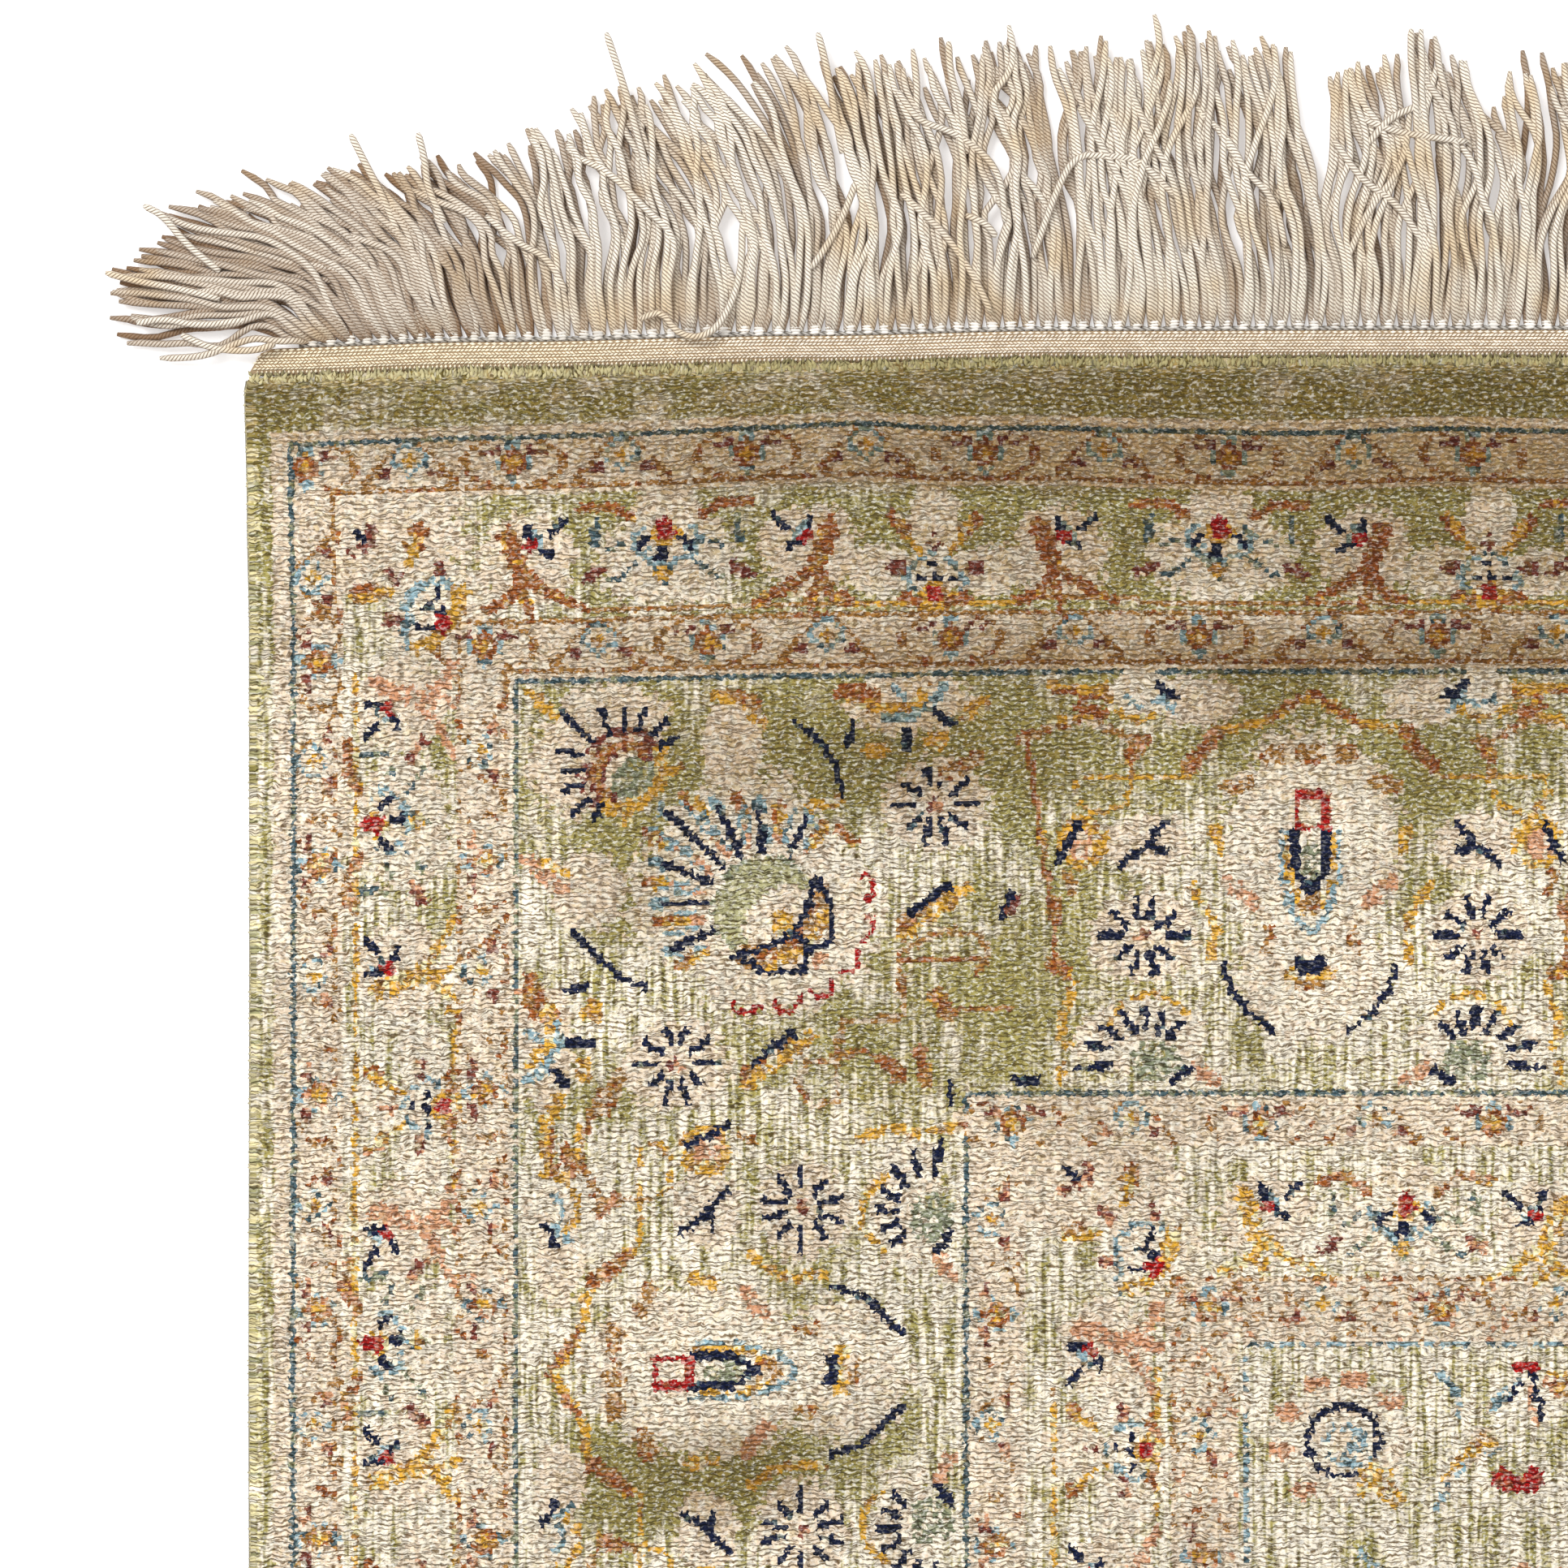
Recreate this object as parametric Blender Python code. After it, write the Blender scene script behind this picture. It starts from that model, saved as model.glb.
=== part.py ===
"""A small hand-knotted Persian rug, lying flat.

The rug lies on the XY plane with its underside at z = 0 and its middle at the
origin.  X runs across the rug, Y along it, towards the end whose fringe fans
out at the left corner.  Everything is in metres.

The pieces are the knotted pile on its cloth, the overcast cord along each long
side, the flat-woven band at each end, and the fringe beyond each band: a thin
cord that ties the warps into knots, one lock of twisted yarns from each knot.
The far end and the right side are the near end and the left side, turned half
round, as the rug is the same both ways.
"""

import math
import random
from typing import NamedTuple

import bmesh
import bpy
from mathutils import Matrix, Vector

MM = 0.001

# ---------------------------------------------------------------- the cloth
RUG_WIDTH = 800 * MM
RUG_LENGTH = 1200 * MM
PIECE_GAP = 0.3 * MM

PILE_HEIGHT = 5.0 * MM
PILE_CORNER_RADIUS = 4.5 * MM
PILE_CELLS_ACROSS = 14
PILE_CELLS_ALONG = 20
PILE_UNEVENNESS = 0.35 * MM
PILE_SWELL_ACROSS = 170 * MM
PILE_SWELL_ALONG = 230 * MM

SELVEDGE_WIDTH = 3.2 * MM
SELVEDGE_STATIONS = 22
SELVEDGE_END_SHARE = 0.55

KILIM_DEPTH = 9.2 * MM
KILIM_THICKNESS = 1.9 * MM
KILIM_RIB_RISE = 0.45 * MM
KILIM_RIBS = 6
KILIM_STATIONS = 18
KILIM_SIDE_INSET = 5.0 * MM
KILIM_END_RADIUS = 11.0 * MM
KILIM_END_STEPS = (0.04, 0.2, 0.5)

# --------------------------------------------------------------- the fringe
LOCKS_PER_END = 148
LOCK_SIDE_INSET = 16.0 * MM
HEADER_DEPTH = 1.2 * MM
HEADER_HEIGHT = 1.3 * MM
KNOT_LENGTH = 2.9 * MM
KNOT_WIDTH = 3.7 * MM
KNOT_HEIGHT = 2.6 * MM
NECK_LENGTH = 0.9 * MM
NECK_WIDTH = 2.6 * MM
NECK_HEIGHT = 1.7 * MM
LOCK_WIDEST = 4.6 * MM
LOCK_GAP_SHARE = 0.16
LEAN_JITTER = 0.7 * MM
REACH_JITTER = 2.6 * MM
SHAPE_SEED = 11


class Sway(NamedTuple):
    """Where an edge strays off the true rectangle, in mm."""

    station: float
    shift: float


class Lie(NamedTuple):
    """How a lock lies, in mm.

    root: where it leaves the header, from the middle of the rug.
    lean: how far its tip lies to the right of its root.
    reach: how far its tip lies beyond its neck.
    bow: how far its middle is pushed to the right of its way.
    """

    root: float
    lean: float
    reach: float
    bow: float


class LockSection(NamedTuple):
    """A lock beyond its neck: share of its way, share of its room, ridge in mm."""

    share: float
    fill: float
    height: float


class CordPoint(NamedTuple):
    """Round the side cord: share of its width from its middle, height in mm."""

    across: float
    height: float


class EdgeStep(NamedTuple):
    """Down the pile's edge: how far in from the outline and how high, in mm."""

    inset: float
    height: float


# The left side, from the far end to the near one; a shift is to the right.
SIDE_SWAY = (
    Sway(-600, -0.6),
    Sway(-400, 0.3),
    Sway(-200, -0.5),
    Sway(0, 0.0),
    Sway(150, 0.4),
    Sway(300, -0.1),
    Sway(440, 0.1),
    Sway(525, 0.0),
    Sway(560, -0.6),
    Sway(600, -1.4),
)

# The near end, from left to right; a shift is outwards.
END_SWAY = (
    Sway(-400, -4.2),
    Sway(-330, -2.3),
    Sway(-237, -0.5),
    Sway(-166, 0.9),
    Sway(-26, 1.2),
    Sway(120, 0.6),
    Sway(260, -0.8),
    Sway(400, -2.6),
)

# From the left corner, where the fringe fans out, to the right one.
FRINGE_LIE = (
    Lie(-384, -47, 5, 3),
    Lie(-379, -54, 15, 4),
    Lie(-373, -54, 25, 4),
    Lie(-367, -52, 34, 4),
    Lie(-361, -49, 40, 3),
    Lie(-353, -41, 44, 2),
    Lie(-343, -33, 46, 0),
    Lie(-333, -24, 49, 0),
    Lie(-322, -16, 55, 0),
    Lie(-301, -10, 61, 0),
    Lie(-290, -9, 72, 0),
    Lie(-272, -15, 75, 3),
    Lie(-252, -20, 77, 8),
    Lie(-232, -15, 80, 6),
    Lie(-202, -12, 78, 2),
    Lie(-171, -8, 85, 1),
    Lie(-143, -8, 82, 2),
    Lie(-124, -9, 85, 1),
    Lie(-100, -11, 84, 3),
    Lie(-91, -13, 79, 3),
    Lie(-85, -3, 77, 1),
    Lie(-63, 0, 81, 0),
    Lie(-46, -3, 79, 1),
    Lie(-38, 3, 66, 1),
    Lie(-30, 0, 78, 1),
    Lie(60, -5, 82, 1),
    Lie(150, 4, 84, -1),
    Lie(240, -3, 82, 1),
    Lie(330, 7, 80, -1),
    Lie(384, 15, 73, -2),
)

LOCK_SECTIONS = (
    LockSection(0.10, 1.00, 2.7),
    LockSection(0.52, 0.95, 2.5),
    LockSection(1.00, 0.70, 1.5),
)

# Counter-clockwise from the foot at the outside.
SELVEDGE_SECTION = (
    CordPoint(-0.36, 0.0),
    CordPoint(0.50, 0.0),
    CordPoint(0.50, 2.6),
    CordPoint(0.22, 3.5),
    CordPoint(-0.22, 3.4),
    CordPoint(-0.50, 1.7),
)

# From the face down to the underside.
PILE_EDGE = (
    EdgeStep(2.0, 4.8),
    EdgeStep(0.6, 4.2),
    EdgeStep(0.0, 3.0),
    EdgeStep(0.3, 0.0),
)

# name: base colour, roughness
FINISHES = {
    "pile_yarn": ((0.36, 0.33, 0.19), 0.62),
    "selvedge_yarn": ((0.40, 0.37, 0.25), 0.70),
    "kilim_yarn": ((0.62, 0.53, 0.40), 0.75),
    "fringe_yarn": ((0.72, 0.65, 0.54), 0.68),
}


def clear_scene():
    """Remove every object that the file opened with."""
    for item in list(bpy.data.objects):
        bpy.data.objects.remove(item, do_unlink=True)


def make_finish(name):
    """Return a Principled material from the table of finishes."""
    colour, roughness = FINISHES[name]
    finish = bpy.data.materials.new(name)
    finish.use_nodes = True
    shader = finish.node_tree.nodes["Principled BSDF"]
    shader.inputs["Base Color"].default_value = (*colour, 1.0)
    shader.inputs["Roughness"].default_value = roughness
    shader.inputs["Metallic"].default_value = 0.0
    return finish


def read_table(rows, at):
    """Blend a table's later columns smoothly at a place in its first column."""
    first, last = rows[0], rows[-1]
    if at <= first[0]:
        return first[1:]
    if at >= last[0]:
        return last[1:]
    for low, high in zip(rows, rows[1:]):
        if at <= high[0]:
            share = (at - low[0]) / (high[0] - low[0])
            eased = share * share * (3.0 - 2.0 * share)
            return tuple(a + (b - a) * eased for a, b in zip(low[1:], high[1:]))
    return last[1:]


def side_shift(along):
    """Sway of the left edge at a distance along the rug, to the right."""
    return read_table(SIDE_SWAY, along / MM)[0] * MM


def end_shift(across):
    """Sway of the near end at a distance across the rug, outwards."""
    return read_table(END_SWAY, across / MM)[0] * MM


def swayed(across, along):
    """Move a point of the true rectangle to where the uneven cloth has it."""
    to_right = 0.5 + across / RUG_WIDTH
    to_end = 0.5 + along / RUG_LENGTH
    shift_x = (1.0 - to_right) * side_shift(along) - to_right * side_shift(-along)
    shift_y = to_end * end_shift(across) - (1.0 - to_end) * end_shift(-across)
    return across + shift_x, along + shift_y


def spread(low, high, count):
    """Return evenly spaced values from low to high, both included."""
    return [low + (high - low) * step / count for step in range(count + 1)]


def new_object(name, form, finish):
    """Turn a bmesh into a named object with one material."""
    bmesh.ops.recalc_face_normals(form, faces=form.faces)
    mesh = bpy.data.meshes.new(name)
    form.to_mesh(mesh)
    form.free()
    mesh.materials.append(finish)
    item = bpy.data.objects.new(name, mesh)
    bpy.context.scene.collection.objects.link(item)
    return item


def bridge(form, ring_a, ring_b):
    """Join two closed rings of equally many points with quads."""
    count = len(ring_a)
    for index in range(count):
        after = (index + 1) % count
        form.faces.new((ring_a[index], ring_a[after], ring_b[after], ring_b[index]))


def swept_bar(sections):
    """Return a bmesh bar through a list of sections, each a ring of points."""
    form = bmesh.new()
    rings = [[form.verts.new(point) for point in section] for section in sections]
    for ring_a, ring_b in zip(rings, rings[1:]):
        bridge(form, ring_a, ring_b)
    form.faces.new(rings[0])
    form.faces.new(rings[-1])
    return form


def pile_stations(half, cells):
    """Grid lines over one side: a corner's radius in from each end, then even."""
    inner = half - PILE_CORNER_RADIUS
    return [-half, *spread(-inner, inner, cells), half]


def inset_corner(across, along, half_x, half_y, inset):
    """Place a grid corner on the middle of its rounded corner's arc."""
    turn_in = PILE_CORNER_RADIUS * (1.0 - math.sqrt(0.5)) + inset * math.sqrt(0.5)
    return (
        math.copysign(half_x - turn_in, across),
        math.copysign(half_y - turn_in, along),
    )


def pile_point(across, along, half_x, half_y, inset):
    """Return the plan position of a grid point, held in from the outline."""
    if abs(across) >= half_x and abs(along) >= half_y:
        across, along = inset_corner(across, along, half_x, half_y, inset)
    else:
        across = max(-half_x + inset, min(half_x - inset, across))
        along = max(-half_y + inset, min(half_y - inset, along))
    return swayed(across, along)


def pile_swell(across, along):
    """Return the slight rise and fall of the pile's face."""
    wave_x = math.sin(2.0 * math.pi * across / PILE_SWELL_ACROSS)
    wave_y = math.cos(2.0 * math.pi * along / PILE_SWELL_ALONG)
    return PILE_UNEVENNESS * wave_x * wave_y


def build_pile(finish):
    """Build the knotted pile: a gently uneven face over a flat underside."""
    half_x = 0.5 * RUG_WIDTH - SELVEDGE_WIDTH - PIECE_GAP
    half_y = 0.5 * RUG_LENGTH
    across_lines = pile_stations(half_x, PILE_CELLS_ACROSS)
    along_lines = pile_stations(half_y, PILE_CELLS_ALONG)
    last_i, last_j = len(across_lines) - 1, len(along_lines) - 1
    top_inset, edge_height = (value * MM for value in PILE_EDGE[0])

    form = bmesh.new()
    grid = {}
    for i, across in enumerate(across_lines):
        for j, along in enumerate(along_lines):
            on_edge = i in (0, last_i) or j in (0, last_j)
            height = edge_height if on_edge else PILE_HEIGHT + pile_swell(across, along)
            x, y = pile_point(across, along, half_x, half_y, top_inset)
            grid[i, j] = form.verts.new((x, y, height))
    for i in range(last_i):
        for j in range(last_j):
            form.faces.new((grid[i, j], grid[i + 1, j], grid[i + 1, j + 1], grid[i, j + 1]))

    rim = [(i, 0) for i in range(last_i)]
    rim += [(last_i, j) for j in range(last_j)]
    rim += [(i, last_j) for i in range(last_i, 0, -1)]
    rim += [(0, j) for j in range(last_j, 0, -1)]
    ring = [grid[place] for place in rim]
    for inset, height in PILE_EDGE[1:]:
        lower = []
        for i, j in rim:
            x, y = pile_point(across_lines[i], along_lines[j], half_x, half_y, inset * MM)
            lower.append(form.verts.new((x, y, height * MM)))
        bridge(form, ring, lower)
        ring = lower
    form.faces.new(ring)
    return new_object("pile", form, finish)


def build_selvedge(finish):
    """Build the overcast cord along the left side."""
    end = 0.5 * RUG_LENGTH - PILE_CORNER_RADIUS
    middle = -0.5 * RUG_WIDTH + 0.5 * SELVEDGE_WIDTH
    sections = []
    for along in spread(-end, end, SELVEDGE_STATIONS):
        share = SELVEDGE_END_SHARE if abs(along) >= end else 1.0
        section = []
        for offset, height in SELVEDGE_SECTION:
            inner_edge = 0.5 * SELVEDGE_WIDTH
            across = inner_edge - (inner_edge - offset * SELVEDGE_WIDTH) * share
            x, y = swayed(middle + across, along)
            section.append((x, y, height * MM * share))
        sections.append(section)
    return new_object("selvedge_left", swept_bar(sections), finish)


def kilim_section_shares():
    """Return (share of depth, rise) pairs over the ribbed face of the band."""
    points = []
    for rib in range(KILIM_RIBS):
        points.append((rib / KILIM_RIBS, 0.0))
        points.append(((rib + 0.5) / KILIM_RIBS, KILIM_RIB_RISE))
    points.append((1.0, 0.0))
    return points


def kilim_sides():
    """Return the stations across the band, with its rounded ends resolved."""
    half = 0.5 * RUG_WIDTH - KILIM_SIDE_INSET
    inner = half - KILIM_END_RADIUS
    rounding = [
        (half - KILIM_END_RADIUS * step, math.sqrt(1.0 - (1.0 - step) ** 2))
        for step in KILIM_END_STEPS
    ]
    left = [(-across, share) for across, share in rounding]
    right = list(reversed(rounding))
    even = [(across, 1.0) for across in spread(-inner, inner, KILIM_STATIONS)]
    return left + even + right


def build_kilim(finish):
    """Build the flat-woven band with its rows of twining as ribs."""
    inner_edge = 0.5 * RUG_LENGTH + PIECE_GAP
    base_height = KILIM_THICKNESS - KILIM_RIB_RISE
    sections = []
    for across, depth_share in kilim_sides():
        start = inner_edge + end_shift(across)
        depth = KILIM_DEPTH * depth_share
        section = [(across, start, 0.0)]
        for share, rise in kilim_section_shares():
            section.append((across, start + depth * share, base_height + rise))
        section.append((across, start + depth, 0.0))
        sections.append(section)
    return new_object("kilim_top", swept_bar(sections), finish)


def fringe_roots():
    """Return where the knots sit along the header."""
    half = 0.5 * RUG_WIDTH - LOCK_SIDE_INSET
    pitch = 2.0 * half / LOCKS_PER_END
    return [-half + pitch * (index + 0.5) for index in range(LOCKS_PER_END)], pitch


def lock_path(root, neck_y, lie, shares):
    """Follow one lock from its neck to its tip, in plan."""
    lean, reach, bow = lie
    start = Vector((root, neck_y))
    tip = start + Vector((lean, reach))
    bend = start + Vector((0.28 * lean + bow, 0.58 * reach))
    return [
        start * (1.0 - s) ** 2 + bend * (2.0 * s * (1.0 - s)) + tip * (s * s) for s in shares
    ]


def lock_paths(roots, outer_edge):
    """Lay every lock, with the small differences that combed yarn has."""
    dice = random.Random(SHAPE_SEED)
    shares = [0.0, *(row[0] for row in LOCK_SECTIONS)]
    paths = []
    for root in roots:
        lean, reach, bow = (value * MM for value in read_table(FRINGE_LIE, root / MM))
        lean += dice.uniform(-LEAN_JITTER, LEAN_JITTER)
        reach += dice.uniform(-REACH_JITTER, REACH_JITTER) * min(1.0, reach / (60.0 * MM))
        neck_y = outer_edge(root) + KNOT_LENGTH + NECK_LENGTH
        paths.append(lock_path(root, neck_y, (lean, reach, bow), shares))
    return paths


def free_width(paths, index, level):
    """Return the room between a lock's neighbours, square to its own way."""
    path = paths[index]
    way = (path[level] - path[level - 1]).normalized()
    room = []
    for other in (index - 1, index + 1):
        if 0 <= other < len(paths):
            apart = paths[other][level] - path[level]
            room.append(abs(apart.x * way.y - apart.y * way.x))
    return min(*room, LOCK_WIDEST / (1.0 - LOCK_GAP_SHARE)), way


def lock_section(form, centre, way, width, height):
    """Add one three-sided section: a flat foot and a ridge."""
    side = Vector((way.y, -way.x)) * 0.5 * width
    left, right = centre - side, centre + side
    return [
        form.verts.new((left.x, left.y, 0.0)),
        form.verts.new((right.x, right.y, 0.0)),
        form.verts.new((centre.x, centre.y, height)),
    ]


def box_section(form, x, y, width, height):
    """Add one four-sided section that faces along +Y."""
    corners = ((-0.5, 0.0), (0.5, 0.0), (0.5, 1.0), (-0.5, 1.0))
    return [form.verts.new((x + side * width, y, up * height)) for side, up in corners]


def build_fringe(finish):
    """Build the header cord with a knot and a lock at each tie."""
    roots, pitch = fringe_roots()

    def inner_edge(across):
        return 0.5 * RUG_LENGTH + end_shift(across) + KILIM_DEPTH + 2.0 * PIECE_GAP

    def outer_edge(across):
        return inner_edge(across) + HEADER_DEPTH

    paths = lock_paths(roots, outer_edge)
    form = bmesh.new()

    lines = [root - 0.5 * pitch for root in roots] + [roots[-1] + 0.5 * pitch]
    header = []
    for across in lines:
        near, far = inner_edge(across), outer_edge(across)
        header.append([
            form.verts.new((across, near, 0.0)),
            form.verts.new((across, far, 0.0)),
            form.verts.new((across, far, HEADER_HEIGHT)),
            form.verts.new((across, near, HEADER_HEIGHT)),
        ])
    form.faces.new(header[0])
    form.faces.new(header[-1])

    for index, root in enumerate(roots):
        left, right = header[index], header[index + 1]
        form.faces.new((left[0], right[0], right[1], left[1]))
        form.faces.new((left[2], right[2], right[3], left[3]))
        form.faces.new((left[3], right[3], right[0], left[0]))

        tie = [left[1], right[1], right[2], left[2]]
        knot_y = outer_edge(root) + KNOT_LENGTH
        knot = box_section(form, root, knot_y, KNOT_WIDTH, KNOT_HEIGHT)
        neck = box_section(form, root, knot_y + NECK_LENGTH, NECK_WIDTH, NECK_HEIGHT)
        bridge(form, tie, knot)
        bridge(form, knot, neck)

        sections = []
        for level, (_, fill, height) in enumerate(LOCK_SECTIONS, start=1):
            room, way = free_width(paths, index, level)
            width = room * (1.0 - LOCK_GAP_SHARE) * fill
            centre = paths[index][level]
            sections.append(lock_section(form, centre, way, width, height * MM))
        foot_left, foot_right, ridge = sections[0]
        form.faces.new((neck[0], neck[1], foot_right, foot_left))
        form.faces.new((neck[1], neck[2], ridge, foot_right))
        form.faces.new((neck[2], neck[3], ridge))
        form.faces.new((neck[3], neck[0], foot_left, ridge))
        for ring_a, ring_b in zip(sections, sections[1:]):
            bridge(form, ring_a, ring_b)
        form.faces.new(sections[-1])
    return new_object("fringe_top", form, finish)


def turned_copy(item, name):
    """Copy a piece to the opposite end or side, turned half round."""
    twin = bpy.data.objects.new(name, item.data)
    bpy.context.scene.collection.objects.link(twin)
    twin.matrix_world = Matrix.Rotation(math.pi, 4, "Z")
    return twin


def main():
    """Build the whole rug."""
    clear_scene()
    finish = {name: make_finish(name) for name in FINISHES}
    build_pile(finish["pile_yarn"])
    turned_copy(build_selvedge(finish["selvedge_yarn"]), "selvedge_right")
    turned_copy(build_kilim(finish["kilim_yarn"]), "kilim_bottom")
    turned_copy(build_fringe(finish["fringe_yarn"]), "fringe_bottom")


main()
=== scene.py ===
"""The looks of a small hand-knotted Persian rug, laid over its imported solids.

Sizes are in millimetres, in the row frame: X across the rug, Y along it and Z up out of the pile.
The knotted pattern is drawn in knots: columns from the left side and rows from the upper end. One
quarter is drawn and mirrored, as a weaver reads a chart.
"""

from __future__ import annotations

import logging
import math
from dataclasses import dataclass, field, replace
from enum import Enum, IntEnum
from typing import Any, NamedTuple, Sequence

import bpy
import numpy as np
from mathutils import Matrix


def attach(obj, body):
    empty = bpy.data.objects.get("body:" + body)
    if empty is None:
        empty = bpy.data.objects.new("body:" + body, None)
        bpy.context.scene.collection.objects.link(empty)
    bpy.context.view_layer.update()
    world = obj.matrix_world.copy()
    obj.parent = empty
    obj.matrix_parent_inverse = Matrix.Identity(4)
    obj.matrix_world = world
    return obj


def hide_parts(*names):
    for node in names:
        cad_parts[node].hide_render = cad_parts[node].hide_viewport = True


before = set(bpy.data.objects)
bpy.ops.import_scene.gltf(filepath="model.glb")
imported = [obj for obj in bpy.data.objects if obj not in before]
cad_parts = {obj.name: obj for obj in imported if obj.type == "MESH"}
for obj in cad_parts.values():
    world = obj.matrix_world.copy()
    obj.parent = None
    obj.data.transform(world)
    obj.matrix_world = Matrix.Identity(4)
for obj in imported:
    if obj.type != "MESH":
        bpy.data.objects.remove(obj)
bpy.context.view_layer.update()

LOG = logging.getLogger("rug")

MM = 0.001
RUG_WIDTH = 800.0
RUG_LENGTH = 1200.0
PIECE_GAP = 0.3
ROOT = "root"

Colour = tuple[float, float, float]
Triple = tuple[float, float, float]
Pair = tuple[float, float]
Piece = bpy.types.Object
Material = bpy.types.Material
Table = Sequence[tuple[float, ...]]


def srgb(red: float, green: float, blue: float) -> Colour:
    """Returns the linear colour of a dye that is named by its 0 to 255 screen values."""
    def linear(level: float) -> float:
        share = level / 255.0
        return share / 12.92 if share <= 0.04045 else ((share + 0.055) / 1.055) ** 2.4
    return linear(red), linear(green), linear(blue)


def smooth(share: np.ndarray | float) -> np.ndarray | float:
    """Returns the smooth step of a share, held between 0 and 1."""
    held = np.clip(share, 0.0, 1.0)
    return held * held * (3.0 - 2.0 * held)


def read_table(table: Table, key: np.ndarray | float, column: int = 1) -> np.ndarray:
    """Reads a short table between its rows, with a soft blend.

    Args:
        table: Rows in rising order of their first column.
        key: Where to read.
        column: Which column to read.

    Returns:
        The blended values, shaped as key.
    """
    keys = np.array([row[0] for row in table])
    values = np.array([row[column] for row in table])
    at = np.clip(np.asarray(key, float), keys[0], keys[-1])
    last = np.clip(np.searchsorted(keys, at, side="right"), 1, len(keys) - 1)
    share = (at - keys[last - 1]) / (keys[last] - keys[last - 1])
    return values[last - 1] + (values[last] - values[last - 1]) * smooth(share)


def soft_noise(shape: tuple[int, int], cells: tuple[float, float], seed: int) -> np.ndarray:
    """Makes smooth random waves over a grid.

    Args:
        shape: Rows and columns of the grid.
        cells: How many waves fit down and across it.
        seed: The fixed seed.

    Returns:
        Values between about -1 and 1.
    """
    draw = np.random.default_rng(seed)
    down = np.linspace(0.0, cells[0], shape[0])
    across = np.linspace(0.0, cells[1], shape[1])
    lattice = draw.uniform(-1.0, 1.0, (int(cells[0]) + 2, int(cells[1]) + 2))
    row = np.minimum(down.astype(int), lattice.shape[0] - 2)
    col = np.minimum(across.astype(int), lattice.shape[1] - 2)
    v = smooth(down - row)[:, None]
    u = smooth(across - col)[None, :]
    top = lattice[row][:, col] * (1 - u) + lattice[row][:, col + 1] * u
    low = lattice[row + 1][:, col] * (1 - u) + lattice[row + 1][:, col + 1] * u
    return top * (1 - v) + low * v


# --- the cloth's own unevenness -----------------------------------------------------------------

SIDE_SWAY = (  # y, shift
    (-600, -0.6), (-400, 0.3), (-200, -0.5), (0, 0.0), (150, 0.4),
    (300, -0.1), (440, 0.1), (525, 0.0), (560, -0.6), (600, -1.4),
)
END_SWAY = (  # x, shift
    (-400, -4.2), (-330, -2.3), (-237, -0.5), (-166, 0.9), (-26, 1.2),
    (120, 0.6), (260, -0.8), (400, -2.6),
)
ROW_SWAY = (  # x, shift of the border rows towards the end
    (-400, -0.6), (-364, -0.7), (-279, 0.2), (-251, 0.9), (-223, 2.0), (-195, -0.3), (-166, -0.6),
    (-138, -1.5), (-96, -2.3), (-54, -1.1), (-26, -1.8), (20, -1.2), (90, 0.9), (170, -0.8),
    (250, 1.1), (320, -0.9), (400, 0.4),
)
ROW_SWAY_RISE = 18.0
ROW_SWAY_HOLD = 30.0
ROW_SWAY_FADE = 62.0


class Cloth:
    """The rug's outline, which waves a little, as woven."""

    @staticmethod
    def swayed(across: np.ndarray, along: np.ndarray) -> tuple[np.ndarray, np.ndarray]:
        """Moves points of the flat cut to where the uneven cloth has them.

        Args:
            across: X on the flat cut.
            along: Y on the flat cut.

        Returns:
            X and Y on the laid rug.
        """
        right = 0.5 + across / RUG_WIDTH
        end = 0.5 + along / RUG_LENGTH
        x = across + (1 - right) * read_table(SIDE_SWAY, along) - right * read_table(SIDE_SWAY, -along)
        y = along + end * read_table(END_SWAY, across) - (1 - end) * read_table(END_SWAY, -across)
        return x, y

    @staticmethod
    def row_wave(across: np.ndarray, along: np.ndarray) -> np.ndarray:
        """Returns how far the beaten-in rows near each end wander, towards that end."""
        depth = RUG_LENGTH / 2 - np.abs(along)
        share = smooth(depth / ROW_SWAY_RISE) * (1 - smooth((depth - ROW_SWAY_HOLD) / ROW_SWAY_FADE))
        side = np.sign(along)
        return side * share * read_table(ROW_SWAY, across * side)

    @staticmethod
    def end_line(across: np.ndarray) -> np.ndarray:
        """Returns Y of the pile's upper edge."""
        return RUG_LENGTH / 2 + read_table(END_SWAY, across)


# --- nodes --------------------------------------------------------------------------------------


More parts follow.
